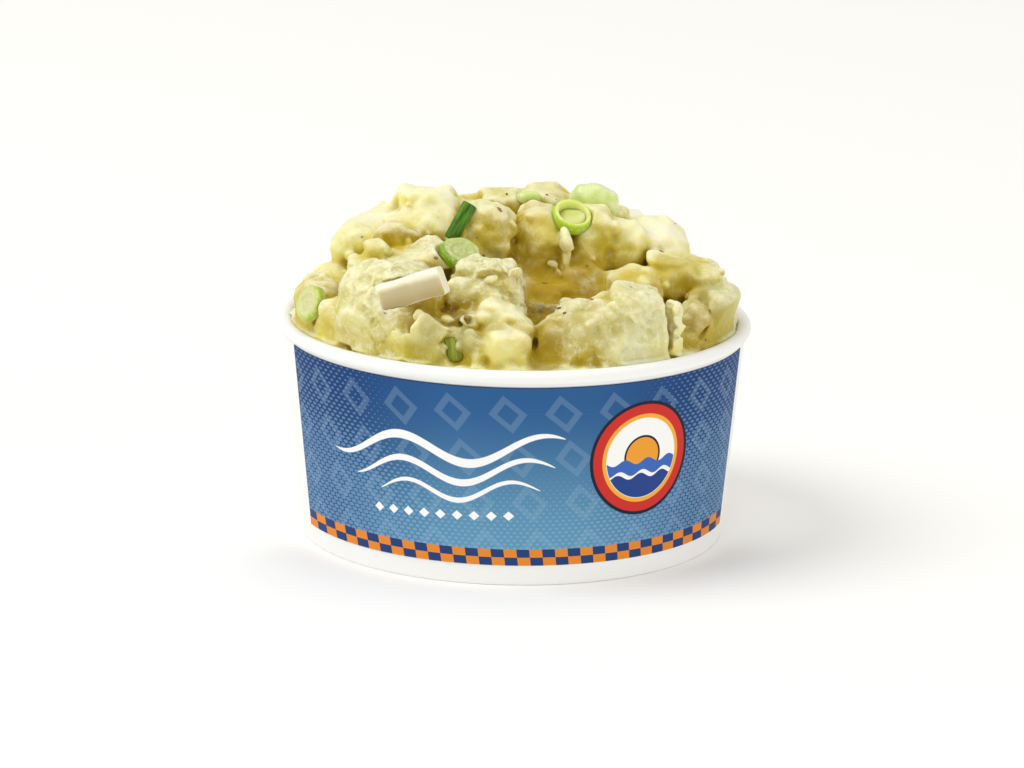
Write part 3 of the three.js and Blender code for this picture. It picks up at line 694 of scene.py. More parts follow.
def heap_grid(low, high, step, bits=()):
    """Distances from the heap's surface on a grid."""
    axes = [np.arange(low[k], high[k] + step, step) for k in range(3)]
    x, y, z = (a.astype(np.float32) for a in np.meshgrid(*axes, indexing="ij", sparse=True))
    radius = np.sqrt(x * x + y * y)
    dome = np.interp(radius, *zip(*CORE_DOME[::-1])).astype(np.float32)
    values = np.maximum(z - dome, radius - CORE_DOME[0][0]) + 0 * (x + y + z)
    warp = [sum(size * Field(cell, seed).on_grid(axes) for cell, seed, size in pair) for pair in WARPS]

    def part(low_corner, high_corner):
        cut = cut_out(axes, low_corner, high_corner)
        return cut, (x[cut[0]], y[:, cut[1]], z[:, :, cut[2]])

    def join(cut, distance, width):
        values[cut] = smooth_min(values[cut], distance.astype(np.float32), width)

    def carve(cut, distance, width):
        values[cut] = smooth_max(values[cut], -distance.astype(np.float32), width)

    def add(lump, width):
        cut, place = part(*lump.box)
        join(cut, lump.distance(*(place[k] + warp[k][cut] for k in range(3))), width)

    for lump in LARGE:
        add(lump, COATED_JOIN if lump.grain < 0.5 else PIECE_JOIN)
    for at, half in HOLLOWS:
        cut, place = part(np.array(at) - half, np.array(at) + half)
        carve(cut, chunk_shape(turned_into(np.eye(3), at, *place), half, 2), HOLLOW_JOIN)
    for cell, seed, size in RELIEF:
        values += size * Field(cell, seed).on_grid(axes)
    for cell, seed, size in LUMPS:
        values -= size * (np.minimum(np.abs(Field(cell, seed).on_grid(axes)), LUMP_TOP) - LUMP_LEVEL)
    values += SHRINK
    for lump in SMALL:
        add(lump, FORM_JOIN)
    for at, rot, half in bits:
        cut, place = part(at - max(half) - 1, at + max(half) + 1)
        join(cut, chunk_shape(turned_into(rot, at, *place), half, BIT_POWER), BIT_JOIN)
    for size, places in CREASES:
        for a, b in zip(places, places[1:]):
            cut, place = part(np.minimum(a, b) - size - 2, np.maximum(a, b) + size + 2)
            carve(cut, capsule(place, a, b) - size, CREASE_JOIN)
    # The salad is taken away where a topping lies, and in front of it on its way out.
    for name, look, at, turn, half, shape, *sizes in TOPPINGS:
        rot = turn_matrix(turn)
        out = rot[:, 2] @ rot if look == "ring" else rot.T @ np.array((Vector(at) - CLEAR_FROM).normalized())
        span = np.abs(rot) @ np.array(half) + CLEAR_SPAN
        cut, place = part(np.array(at) - span, np.array(at) + span)
        q = turned_into(rot, at, *place)
        room = shape(q, *sizes) + SEAT
        for shift in CLEARING[:CLEAR_LESS.get(name, 5)]:
            room = np.minimum(room, shape([q[k] - shift * out[k] for k in range(3)], *sizes))
        carve(cut, room, SEAT_JOIN)
    return smooth_max(values, rim_limit(radius, z), RIM_JOIN)


COARSE = 0.6
COARSE_LOW = np.array((-49.0, -49.0, 42.0))
coarse = heap_grid(COARSE_LOW, (49, 49, 75), COARSE)
filled = np.clip(0.5 - coarse / COARSE, 0, 1).astype(np.float32)
NEAR_FILL, WIDE_FILL, DEEP_FILL = (blurred(filled, reach / COARSE) for reach in (1.3, 4.0, 9.0))
BIT_COUNT, BIT_SIZES, BIT_LOWEST = 240, (0.5, 1.3), 47.5
BIT_SEED, GRAIN_SEED, SPECK_SEED = 81, 71, 91
GRAINS, GRAIN_SIZES, GRAIN_LOWEST, GRAIN_STEEPEST = 8500, (0.07, 0.16), 46.2, -0.35

# Flaky places: middle, spread, and how many flakes.
FLAKY = [
    ((-16.5, -39.8, 50), (3.2, 0.7, 1.7), 26),
    ((-4, -28.6, 60.6), (3.2, 1.2, 0.4), 8),
    ((32.2, -31.6, 50.6), (0.8, 0.6, 2.4), 6),
    ((8.6, -10.4, 57), (1.2, 0.6, 1.6), 4),
]
FLAKE_LEAST, FLAKE_MOST = (0.8, 0.3, 0.8), (1.8, 0.5, 1.8)
SMOOTH_MIDDLE, SMOOTH_REACH = (7, -22, 54), 11
FAR, BLEND, OUTWARD = 6.0, 0.5, 0.4


def how_full(fill, points):
    """How much of the space round each point is salad, read from a blurred grid."""
    t = np.clip((points - COARSE_LOW) / COARSE, 0, np.array(fill.shape) - 1.001)
    i = t.astype(int)
    f = t - i
    total = np.zeros(len(points))
    for c in itertools.product((0, 1), repeat=3):
        share = np.prod([f[:, k] if c[k] else 1 - f[:, k] for k in range(3)], axis=0)
        total += share * fill[tuple((i + c).T)]
    return total


def random_turns(rng, count):
    turns = np.linalg.qr(rng.normal(size=(count, 3, 3)))[0]
    return turns * np.sign(np.linalg.det(turns))[:, None, None]


def scattered_bits():
    """Small broken bits of potato, more of them low down and in hollows: middle, turn and half sizes."""
    rng = np.random.default_rng(BIT_SEED)
    places, _ = surface(coarse, COARSE_LOW, COARSE)
    places = places[places[:, 2] > BIT_LOWEST]
    chance = np.clip(how_full(WIDE_FILL, places) - 0.42, 0.02, 1)
    chance = chance * np.clip(0.5 + 0.5 * Field(7.0, 82).at(places), 0.05, 1.5)
    chance *= np.linalg.norm(places - np.array(SMOOTH_MIDDLE), axis=1) > SMOOTH_REACH
    chosen = places[rng.choice(len(places), BIT_COUNT, p=chance / chance.sum())]
    sizes = [rng.uniform(*BIT_SIZES, (BIT_COUNT, 1)) * rng.uniform(0.6, 1.15, (BIT_COUNT, 3))]
    middles = [chosen - np.array((0, 0, 0.3))]
    for middle, spread, count in FLAKY:
        middles.append(np.array(middle) + rng.normal(size=(count, 3)) * spread)
        sizes.append(rng.uniform(FLAKE_LEAST, FLAKE_MOST, (count, 3)))
    middles, sizes = np.concatenate(middles), np.concatenate(sizes)
    return list(zip(middles, random_turns(rng, len(middles)), sizes))


def piece_shares(points):
    """Each point's tint and grain, blended from the pieces near it, with the patches of painted shade, painted
    highlight and tone over them, and how far the patches cover it.
    """
    nearest = np.full(len(points), FAR)
    distances = []
    for lump in LARGE + SMALL:
        close = np.nonzero(((points > lump.box[0]) & (points < lump.box[1])).all(1))[0]
        d = lump.distance(*points[close].T)
        distances.append((lump, close, d))
        nearest[close] = np.minimum(nearest[close], d)
    total = np.full(len(points), 1e-6)
    tint = np.zeros((len(points), 3)) + 1e-6 * np.array(srgb(TINTS["warm"]))
    grain, patch_and_painted_shade = np.zeros(len(points)), np.zeros(len(points))
    for lump, close, d in distances:
        share = np.exp(-(d - nearest[close]) / BLEND)
        total[close] += share
        tint[close] += share[:, None] * lump.tint
        grain[close] += share * lump.grain
    tint /= total[:, None]
    uneven = 1 + 0.35 * Field(3.6, 61).at(points)
    for *at, size, colour, much in PATCHES:
        fading = 1.25 * np.exp(-(((points - np.array(at)) / size) ** 2).sum(1) * 1.1)
        share = much * np.clip(fading * uneven, 0, 1)
        tint += share[:, None] * (np.array(srgb(colour)) - tint)
        patch_and_painted_shade = np.maximum(patch_and_painted_shade, share)
    return tint, grain / total, patch_and_painted_shade


def steps(values, low, high):
    """0 below low, 1 above high, smooth between them."""
    t = np.clip((values - low) / (high - low), 0, 1)
    return t * t * (3 - 2 * t)


def depth_of(near, wide, deep, lift):
    """How deep in the heap a place lies, from numbers or from shades."""
    return near * 1.1 + wide * 0.8 + deep * 0.6 - lift * 0.16


def dress(obj, points, normals):
    """Stores what the potato material reads: tint, with painted shade darkening it on steep and hollow places,
    grain, how hollow the place is, how far it faces up, and how far patches and painted shade cover it.
    """
    tint, grain, patch_and_painted_shade = piece_shares(points)
    outward = points + OUTWARD * normals
    near = how_full(NEAR_FILL, outward)
    wide = how_full(WIDE_FILL, outward + np.array((0, 0, 1.0)))
    deep = how_full(DEEP_FILL, outward)
    lift = normals[:, 2]
    coated = 1 - COAT_LESS * grain
    depth = depth_of(near, wide, deep, lift) + 0.22 * Field(4.0, 62).at(points)
    # painted shade: the tint turns darker and more yellow on sides that face sideways or down and in hollows, less
    # on granular faces and under patches
    painted_shade = np.clip(PAINTED_SIDE_SHADE * steps(-lift, -0.8, 0.0) + steps(depth, 1.2, 1.85), 0, 1)
    painted_shade = painted_shade * coated * (1 - 0.5 * patch_and_painted_shade)
    tint = tint * (1 + painted_shade[:, None] * (np.array(PAINTED_SHADE_COLOUR) - 1))
    # sides that face down join the patch mask, which holds back the painted highlight and the mottling there
    patch_and_painted_shade = 1 - (1 - patch_and_painted_shade) * (1 - (0.25 + 0.45 * coated) * steps(-lift, -0.6, 0.1))
    stored = {"near": near, "wide": wide, "deep": deep, "grain": grain, "patch_and_painted_shade": patch_and_painted_shade, "lift": lift}
    for key, values in stored.items():
        store(obj.data, key, values)
    store(obj.data, "tint", np.concatenate([tint, np.ones((len(tint), 1))], 1))


def simpler(obj, faces):
    """The mesh of an object with no more than that many triangles, as points and triangles."""
    change = obj.modifiers.new("simpler", "DECIMATE")
    change.ratio = min(1.0, faces / len(obj.data.polygons))
    made = obj.evaluated_get(bpy.context.evaluated_depsgraph_get()).to_mesh()
    points, corners = points_of(made), read(made.loops, "vertex_index", kind=np.int32).reshape(-1, 3)
    obj.to_mesh_clear()
    bpy.data.meshes.remove(obj.data)
    return points, corners


def closed_below(points, faces):
    """Carries the open lower edge down the cup to its floor, as the core of the salad."""
    count = len(points)
    edges = np.concatenate([faces[:, [k, (k + 1) % 3]] for k in range(3)]).astype(np.int64)
    there, back = (edges[:, k] * count + edges[:, 1 - k] for k in (0, 1))
    open_edges = edges[~np.isin(there, back)]
    last = np.unique(open_edges)
    a, b = np.searchsorted(last, open_edges).T
    angle = np.arctan2(points[last, 1], points[last, 0])
    parts, skirts, above = [points], [faces], last
    for radius, height in CORE_RINGS:
        below = sum(len(p) for p in parts) + np.arange(len(last))
        parts.append(np.stack([radius * np.cos(angle), radius * np.sin(angle), np.full(len(last), height)], 1))
        skirts += [np.stack([above[b], above[a], below[a]], 1), np.stack([above[b], below[a], below[b]], 1)]
        above = below
    middle = sum(len(p) for p in parts)
    parts.append(np.array([(0, 0, CORE_RINGS[-1][1])]))
    skirts.append(np.stack([above[b], above[a], np.full(len(a), middle)], 1))
    return np.concatenate(parts), np.concatenate(skirts)


def salad_heap(material):
    points, quads = surface(heap_grid(HEAP_LOW, HEAP_HIGH, STEP, scattered_bits()), np.array(HEAP_LOW), STEP)
    triangles = np.concatenate([quads[:, [0, 1, 2]], quads[:, [0, 2, 3]]])
    obj = mesh_object("salad_rough", points, triangles, material)
    _, grain, _ = piece_shares(points)
    grain = grain * np.clip(0.6 + 0.5 * Field(4.5, 31).at(points), 0.1, 1)
    (lump, _), (fine, _), (_, plate) = (packed_bumps(points, *c) for c in ((1.15, 41), (0.62, 51), (3.2, 55)))
    rough = 0.34 * (lump - 0.5) + 0.12 * (fine - 0.5) + 0.8 * (plate - 0.5)
    height = grain * rough + (1 - grain) * 0.05 * (fine - 0.5)
    touching = rim_limit(np.hypot(points[:, 0], points[:, 1]), points[:, 2]) > -RIM_NEAR
    height = np.where(touching, np.minimum(height, 0), height)
    points = points + height[:, None] * read(obj.data.vertex_normals, "vector", 3)
    obj.data.vertices.foreach_set("co", (points * MM).astype(np.float32).ravel())
    obj.data.update()
    points, faces = closed_below(*simpler(obj, HEAP_FACES))
    obj = mesh_object("salad_heap", points, faces, material)
    dress(obj, points, read(obj.data.vertex_normals, "vector", 3))
    return piece(obj, "potato", "salad")


def crumbs(middles, frames, halves, rng):
    """Points and faces of many small rough lumps, each with its middle, its axes and its half sizes."""
    ball = bpy.data.meshes.new("ball")
    shape = bmesh.new()
    bmesh.ops.create_icosphere(shape, subdivisions=1, radius=1.0)
    shape.to_mesh(ball)
    shape.free()
    corners = points_of(ball) * MM
    faces = read(ball.loops, "vertex_index", kind=np.int32).reshape(-1, 3)
    bpy.data.meshes.remove(ball)
    count = len(middles)
    local = corners[None] * rng.uniform(0.75, 1.2, (count, len(corners), 1)) * halves[:, None]
    points = middles[:, None] + np.einsum("nck,nkj->ncj", local, frames)
    every = faces[None] + (np.arange(count) * len(corners))[:, None, None]
    return points.reshape(-1, 3), every.reshape(-1, 3)


def loose_grains(heap, material):
    """Crumbs of potato lying on the granular faces."""
    rng = np.random.default_rng(GRAIN_SEED)
    faces = heap.data.polygons
    centres, normals, areas = read(faces, "center", 3) / MM, read(faces, "normal", 3), read(faces, "area")
    free = np.nonzero((centres[:, 2] > GRAIN_LOWEST) & (normals[:, 2] > GRAIN_STEEPEST))[0]
    _, grain, patch_and_painted_shade = piece_shares(centres[free])
    clumps = np.clip(0.45 + 0.6 * Field(2.6, 72).at(centres[free]), 0.02, 1.3)
    chance = areas[free] * (0.03 + grain**2) * clumps * (1 - 0.9 * patch_and_painted_shade)
    chosen = free[rng.choice(len(free), GRAINS, p=chance / chance.sum())]
    size = rng.uniform(*GRAIN_SIZES, (GRAINS, 1)) * rng.uniform(0.6, 1.25, (GRAINS, 3))
    middles = centres[chosen] + normals[chosen] * (0.1 * size.mean(1))[:, None]
    points, triangles = crumbs(middles, random_turns(rng, GRAINS), size, rng)
    obj = mesh_object("salad_grains", points, triangles, material)
    dress(obj, points, np.repeat(normals[chosen], len(points) // GRAINS, 0))
    piece(obj, "potato", "salad")


def moist(name, roughness, scale, radius, coat, coat_roughness, ior, soft=1.0, **settings):
    """A material that light goes into, under a wet skin."""
    return Material(
        name, Roughness=roughness, Subsurface_Weight=soft, Subsurface_Scale=scale * MM,
        Subsurface_Radius=radius, Coat_Weight=coat, Coat_Roughness=coat_roughness, IOR=ior, **settings)


def potato_material(name, soft, pale):
    m = moist(name, 0.5, 1.5, (1.0, 0.75, 0.25), 0.06, 0.2, 1.4, soft, Specular_IOR_Level=0.14)
    grain, near, wide, deep, patch_and_painted_shade, lift = (
        m.attribute(key) for key in ("grain", "near", "wide", "deep", "patch_and_painted_shade", "lift"))
    mottle, speckle = m.noise(0.22, 4.0, 0.6), m.noise(1.6, 2.0, 0.6)
    depth = depth_of(near, wide, deep, lift) + mottle * 0.5
    # proud, upward-facing places, where the painted highlight goes
    painted_highlight = near * -1.0 + speckle * 0.2 + mottle * 0.2 + lift * 0.06
    crumbly = m.noise(0.75, 3.0, 0.65)
    rough = (grain * 0.65 + 0.35) * (1.0 - patch_and_painted_shade * 0.8)
    m.colour(
        m.attribute("tint", "Color"),
        # painted shade: gold in the hollows, and dark gold deeper in
        (depth.ramp(1.15, 1.65), 0xC0A628),
        (depth.ramp(1.55, 2.05), 0x8A6604),
        # painted highlight: light cream on proud places that face up, held back by the patches
        (painted_highlight.ramp(-0.25, 0.06) * (1.0 - patch_and_painted_shade * 0.95) * 0.8, 0xF5F2D0),
        (crumbly.ramp(0.5, 0.66) * rough * 0.6, 0xF6F3D6),
        (crumbly.ramp(0.46, 0.3) * rough * 0.35, 0xCEBA50),
        # painted light: pale lifts the colour of loose grains, which have no light going in under their skin
        (pale, 0xF8F5D8))
    m.drive("Roughness", 0.38 + speckle * 0.25 + grain * 0.08)
    bumps = m.cells(1.9) * (grain * 0.75 + 0.25) + speckle * 0.7 + m.noise(4.5) * 0.35
    m.bump(bumps, 0.12, 0.42)
    return m


# Specks of pepper and herbs: where they are seen, half lengths, and colour on a screen.
SPECKS = [
    ((-3.4, -9.9, 69.4), (0.95, 0.45), 0xA06A3C), ((-16.1, -21, 61.7), (0.6, 0.35), 0xB0704A),
    ((-6.5, -12.6, 60.2), (0.6, 0.5), 0x627032), ((8.8, -36.6, 55.6), (0.7, 0.6), 0x6E3228),
    ((9.9, -36.6, 54.6), (0.5, 0.4), 0x8C4A38), ((15.1, -35.8, 57.4), (0.9, 0.35), 0xB0845C),
    ((6, -17.3, 56.1), (0.7, 0.5), 0xA87A1E), ((29.8, -2.2, 59.7), (0.8, 0.5), 0xB28058),
    ((38.6, -26.1, 47), (0.5, 0.35), 0xB07040), ((-8, -14, 64.5), (0.3, 0.25), 0xA08642),
    ((14.6, -9.5, 58), (0.35, 0.3), 0xA07624), ((-26, -33, 53), (0.3, 0.25), 0xBA905C),
    ((23, -30, 58.6), (0.35, 0.3), 0x9C8C5A), ((-31.5, -9, 63), (0.3, 0.25), 0xB4965C),
]
MORE_SPECKS, SPECK_SIZES, SPECK_THICKNESS, SPECK_LOWEST = 30, (0.14, 0.4), 0.16, 47
SPECK_COLOURS = [0x603E28, 0x7C5828, 0x4C5824, 0x423024, 0x965430]


def specks(heap):
    """Flakes of pepper and herbs lying on the salad: some where they are seen, the rest scattered."""
    m = Material("speck", Roughness=0.5)
    m.colour(m.attribute("tint", "Color"))
    rng = np.random.default_rng(SPECK_SEED)
    tree = BVHTree.FromObject(heap, bpy.context.evaluated_depsgraph_get())
    eye = bpy.context.scene.camera.location
    found = []
    for place, size, colour in SPECKS:
        spot, normal, *_ = tree.ray_cast(eye, Vector(place) * MM - eye)
        found.append((spot, normal, size, colour))
    while len(found) < len(SPECKS) + MORE_SPECKS:
        out = Vector(rng.normal(size=3))
        spot, normal, *_ = tree.ray_cast(Vector((0, 0, 48)) * MM + out.normalized() * 0.2, -out)
        if spot and spot.y > 2 * MM and spot.z > SPECK_LOWEST * MM and normal.z > 0.1:
            size = rng.uniform(*SPECK_SIZES)
            found.append((spot, normal, (size, size * 0.7), SPECK_COLOURS[rng.integers(len(SPECK_COLOURS))]))
    middles, normals = (np.array([row[k] for row in found]) for k in (0, 1))
    sideways = np.cross(normals, rng.normal(size=(len(found), 3)) * 0.3 + np.array((0.2, 0.2, 1.0)))
    sideways /= np.linalg.norm(sideways, axis=1)[:, None]
    frames = np.stack([sideways, np.cross(normals, sideways), normals], 1)
    halves = np.array([(*size, SPECK_THICKNESS) for _, _, size, _ in found])
    points, faces = crumbs(middles / MM, frames, halves, rng)
    colours = np.repeat([(*srgb(colour), 1.0) for *_, colour in found], len(points) // len(found), 0)
    piece(mesh_object("salad_specks", points, faces, m, attributes={"tint": colours}), "potato", "salad")


HEAP = salad_heap(potato_material("potato", 1.0, 0.0))
# the grains are made a quarter paler: painted light in place of the light under the skin that they are made without
loose_grains(HEAP, potato_material("potato_grain", 0.0, 0.25))
specks(HEAP)


# ---- the cup
def lathe(profile, segments, start=0.0, stop=360.0, outward=lambda angle, height: 0):
    """A profile of radius and height turned about Z, moved outward as asked for each angle and height."""
    profile = np.array(profile, float)
    rows, closed = len(profile), stop - start >= 360
    angles = np.radians(np.linspace(start, stop, segments + 1))[:, None]
    radius, height = profile[None, :, 0], profile[None, :, 1]
    radius = radius + outward(np.degrees(angles), height)
    points = np.stack(np.broadcast_arrays(radius * np.cos(angles), radius * np.sin(angles), height), -1)
    i, j = np.meshgrid(np.arange(segments), np.arange(rows - 1), indexing="ij")
    a = i * rows + j
    b = ((i + 1) % segments if closed else i + 1) * rows + j
    faces = np.stack([a, b, b + 1, a + 1], -1).reshape(-1, 4)
    return points.reshape(-1, 3)[:(segments + (not closed)) * rows], faces


def arc(middle, half, start, stop, steps):
    angles = np.radians(np.linspace(start, stop, steps + 1))
    return [(middle[0] + half[0] * math.cos(a), middle[1] + half[1] * math.sin(a)) for a in angles]


BASE_RADIUS, WALL_FLARE, WALL, EDGE = 43.95, 0.086, 0.9, 0.35
RIM_OUTSIDE, RIM_INNER, RIM_ROLL = 48.88, 46.0, 2.9
CURL_WIDTH, CURL_HEIGHT = 3.0, 3.0
BASE_RECESS, BASE_THICKNESS, BASE_GAP, BASE_BEND = 3.6, 0.7, 0.3, 0.8
SEAM_ANGLE, SEAM_LAP, SEAM_STEP = 96.0, 9.0, 0.28


def wall_radius(height):
    return BASE_RADIUS + WALL_FLARE * height


def fibres(m, roughness, strength):
    """Fine fibres in the gloss and the bump of a paper material."""
    noise = m.noise(1.2, 4.0, 0.65)
    m.drive("Roughness", roughness + noise * 0.14)
    m.bump(noise, 0.03, strength)
    return noise


def paper_material():
    m = Material("paper", Specular_IOR_Level=0.3)
    m.colour(0xF5F5F2, (m.noise(0.05, 3.0) * 0.6 + fibres(m, 0.48, 0.35) * 0.4, 0xF9F9F7))
    return m


def cup_wall(material):
    top = CUP_HEIGHT - RIM_ROLL
    middle = ((RIM_OUTSIDE + RIM_INNER) / 2, CUP_HEIGHT - RIM_ROLL / 2)
    half = ((RIM_OUTSIDE - RIM_INNER) / 2, RIM_ROLL / 2)
    curl = BASE_RADIUS - CURL_WIDTH
    profile = [(BASE_RADIUS - EDGE, 0), (BASE_RADIUS - 0.1, 0.08), (wall_radius(EDGE), EDGE)]
    profile += [(wall_radius(h), h) for h in np.linspace(1.0, top - 0.5, 16)]
    profile += [(wall_radius(top - EDGE) + 0.02, top - EDGE), *arc(middle, half, -65, 180, 26)]
    profile += [(wall_radius(top - EDGE) - WALL, top - EDGE), (BASE_RADIUS - WALL, WALL), (curl + WALL, WALL)]
    profile += [(curl + WALL, CURL_HEIGHT), (curl, CURL_HEIGHT), (curl, EDGE), (curl + 0.1, 0.08), (curl + EDGE, 0)]

    def seam(angle, height):
        """The wall's end laps over its start at the back: it steps out there and comes back round the cup."""
        past = (angle - SEAM_ANGLE) % 360
        step = np.where(past < SEAM_LAP, SEAM_STEP * (1 - past / SEAM_LAP), 0)
        return step * (height > 0.4) * (height < top - 0.4)

    points, faces = lathe([*profile, profile[0]], 360, outward=seam)
    return mesh_object("cup_wall_paper", points, faces, material, sharp=40)


def cup_floor(material):
    low, top, bottom = BASE_RECESS, BASE_RECESS + BASE_THICKNESS, WALL + BASE_GAP
    outside = BASE_RADIUS - WALL - BASE_GAP
    inside = BASE_RADIUS - CURL_WIDTH + WALL + BASE_GAP
    profile = [(0.01, low), (20, low), (inside - BASE_BEND, low), (inside - 0.2, low - 0.2)]
    profile += [(inside, low - BASE_BEND), (inside, bottom), (outside, bottom), (outside, top - 0.2)]
    points, faces = lathe([*profile, (outside - 0.2, top), (20, top), (0.01, top)], 180)
    return mesh_object("cup_floor_paper", points, faces, material, sharp=50)


PAPER = paper_material()
piece(cup_wall(PAPER), "paper", "cup_wall")
piece(cup_floor(PAPER), "paper", "cup_floor")

# ---- the printed band
BAND_BOTTOM, BAND_TOP = 4.3, 41.9
BAND_LEFT, BAND_RIGHT = 71.2, 76.0
BAND_LEAN = (0.006, 0.027)
BAND_OUT, BAND_UNDER = 0.17, 0.03
DOT_PITCH, DOT_ROWS, DOT_FLAT = 1.36, 0.82, 0.66
CHECK_WIDTH, CHECK_HEIGHT = 2.72, 1.72
BADGE_MIDDLE, BADGE_RADIUS, BADGE_SOFT = (27.0, 21.2), 12.0, 0.05
WHITE, INK = 0xFAFAFA, 0x161A30


def band_material():
    """The print, with painted shade towards its sides and a painted shadow along its edges, in millimetres along the
    band and up from its foot.
    """
    m = Material("print", Specular_IOR_Level=0.2)
    u, v, _ = m.axes("print_place")
    down = (v * -1.0).ramp(-36.0, -3.0)
    side = u.math("ABSOLUTE").ramp(10.0, 46.0)
    # the ground lightens towards the foot, as printed, and darkens towards both sides: painted shade where the band
    # turns away round the cup
    print_and_shade = [(down, 0x6298B8), (side * 0.9, 0x042E6C)]
    # large lozenges, a little lighter than the ground
    ghost = lozenge((u + v * 0.22).repeat(11.0), (v + 0.94).repeat(9.4), 3.9, 4.1)
    print_and_shade.append((ghost.ramp(1.0, 0.95) * ghost.ramp(0.52, 0.57) * 0.2, 0x96B4CD))
    # halftone dots, larger towards the lower middle and the sides
    wide_u = (u * (0.75 / 45)).math("SINE") * (45 / 0.75)
    shift = (v / DOT_ROWS).math("FLOOR").odd() * (DOT_PITCH / 2)
    away = length((wide_u + shift).repeat(DOT_PITCH) * DOT_FLAT, v.repeat(DOT_ROWS))
    dots = (away - (down * 0.73 + side * 0.74).ramp(0.1, 1.2) * 0.4).ramp(0.05, -0.05)
    print_and_shade.append((dots * (down * 0.12 + 0.34), 0x88BAE0))
    # the badge: a sun over waves in a ringed disc
    bu, bv = u - BADGE_MIDDLE[0], v - BADGE_MIDDLE[1]
    out, sun, art = length(bu, bv), length(bu, bv - 0.4), INK
    for away, radius, shade in (
            (out, 11.3, 0xCE2E26), (out, 9.3, 0xF4B03E), (out, 8.45, 0xFAFAF8),
            (sun, 4.4, INK), (sun, 3.95, 0xEEA030)):
        art = m.mix(away.ramp(radius + BADGE_SOFT, radius - BADGE_SOFT), art, shade)
    inner = out.ramp(8.4, 8.3)
    for level, shade, tilt in ((-0.6, 0x3C68BC, 0.0), (-3.0, 0xFAFAF8, 1.3), (-3.7, 0x23428C, 1.9)):
        wave = bv - (bu * 1.15 + tilt).math("SINE") * 0.55 - level
        art = m.mix(wave.ramp(0.06, -0.06) * inner, art, shade)
    print_and_shade.append((out.ramp(BADGE_RADIUS + BADGE_SOFT, BADGE_RADIUS - BADGE_SOFT), art))
    # white flourishes to the left of it
    for level, height, length_of_wave, start, end, thick, phase in (
            (24.5, 2.7, 30.0, -42.0, 10.0, 0.95, 0.4),
            (20.0, 2.3, 26.0, -36.0, 8.0, 0.75, 1.1),
            (15.9, 1.9, 22.0, -30.0, 5.0, 0.55, 1.9)):
        along = ((u - start) / (end - start)).math("MAXIMUM", 0.0).math("MINIMUM", 1.0)
        width = (along * (1.0 - along) * 4.0).math("MAXIMUM", 0.0).math("POWER", 0.6) * thick
        curve = (u * (2 * math.pi / length_of_wave) + phase).math("SINE") * height + level + u * 0.05
        swash = ((v - curve).math("ABSOLUTE") - width).ramp(0.08, -0.08) * width.ramp(0.03, 0.1)
        print_and_shade.append((swash, WHITE))
    # a row of small lozenges under them
    small = lozenge(u.repeat(3.6), v - 10.6 - u * 0.03, 1.15, 1.0)
    run = u.ramp(-32.55, -32.45) * u.ramp(0.2, 0.1)
    print_and_shade.append((small.ramp(1.04, 0.96) * run, WHITE))
    # two rows of checks at the foot, and a dark line round the edge: painted shadow, under the rim's curl along the
    # top and off the band's thickness at its ends
    column, row = ((wide_u + v * 0.1) / CHECK_WIDTH).math("FLOOR"), (v / CHECK_HEIGHT).math("FLOOR")
    checks = m.mix((column + row).odd(), 0xE88A2C, 0x213E76)
    print_and_shade.append((v.ramp(2 * CHECK_HEIGHT + 0.03, 2 * CHECK_HEIGHT - 0.03), checks))
    edge = v.ramp(37.35, 37.5).math("MAXIMUM", u.ramp(-56.75, -56.95)).math("MAXIMUM", u.ramp(60.6, 60.8))
    m.colour(0x285C92, *print_and_shade, (edge * 0.8, 0x182C4E))
    fibres(m, 0.5, 0.3)
    return m


def printed_band():
    """A thin layer on the wall, whose left edge leans in towards the foot."""
    rows = np.linspace(BAND_BOTTOM, BAND_TOP, 24)
    profile = [(wall_radius(h) + BAND_OUT, h) for h in rows]
    profile += [(wall_radius(h) + BAND_UNDER, h) for h in rows[::-1]]
    points, faces = lathe([*profile, profile[0]], 320, -90 - BAND_LEFT, -90 + BAND_RIGHT)
    x, y, z = points.T
    angle = np.arctan2(x, -y)
    place = np.stack([angle * wall_radius((BAND_BOTTOM + BAND_TOP) / 2), z - BAND_BOTTOM, np.zeros(len(z))], 1)
    right, least, most = math.radians(BAND_RIGHT), *BAND_LEAN
    leant = right + (angle - right) * (1 - least - (most - least) * (BAND_TOP - z) / (BAND_TOP - BAND_BOTTOM))
    out = np.hypot(x, y)
    points = np.stack([out * np.sin(leant), -out * np.cos(leant), z], 1)
    return mesh_object(
        "printed_band_paper", points, faces, band_material(), attributes={"print_place": place}, sharp=40)


piece(printed_band(), "print", "printed_band")


# ---- toppings
def egg_material():
    m = moist("egg", 0.3, 1.6, (1.0, 0.85, 0.6), 0.3, 0.15, 1.38)
    _, y, z = m.axes("local")
    clouds = m.noise(0.35, 3.0)
    # painted shade: the front face darker than the top, and darker still towards the foot
    lower = (z + clouds * 1.2).ramp(1.6, -2.4)
    front = y.ramp(-1.9, -2.25) * (z + clouds * 0.8).ramp(2.5, 1.0)
    m.colour(0xF6F3DC, (front * 0.9, 0xC8BA8C), (lower * front * 0.8, 0xAE9658))
    m.bump(m.noise(1.1, 3.0), 0.05, 0.4)
    return m


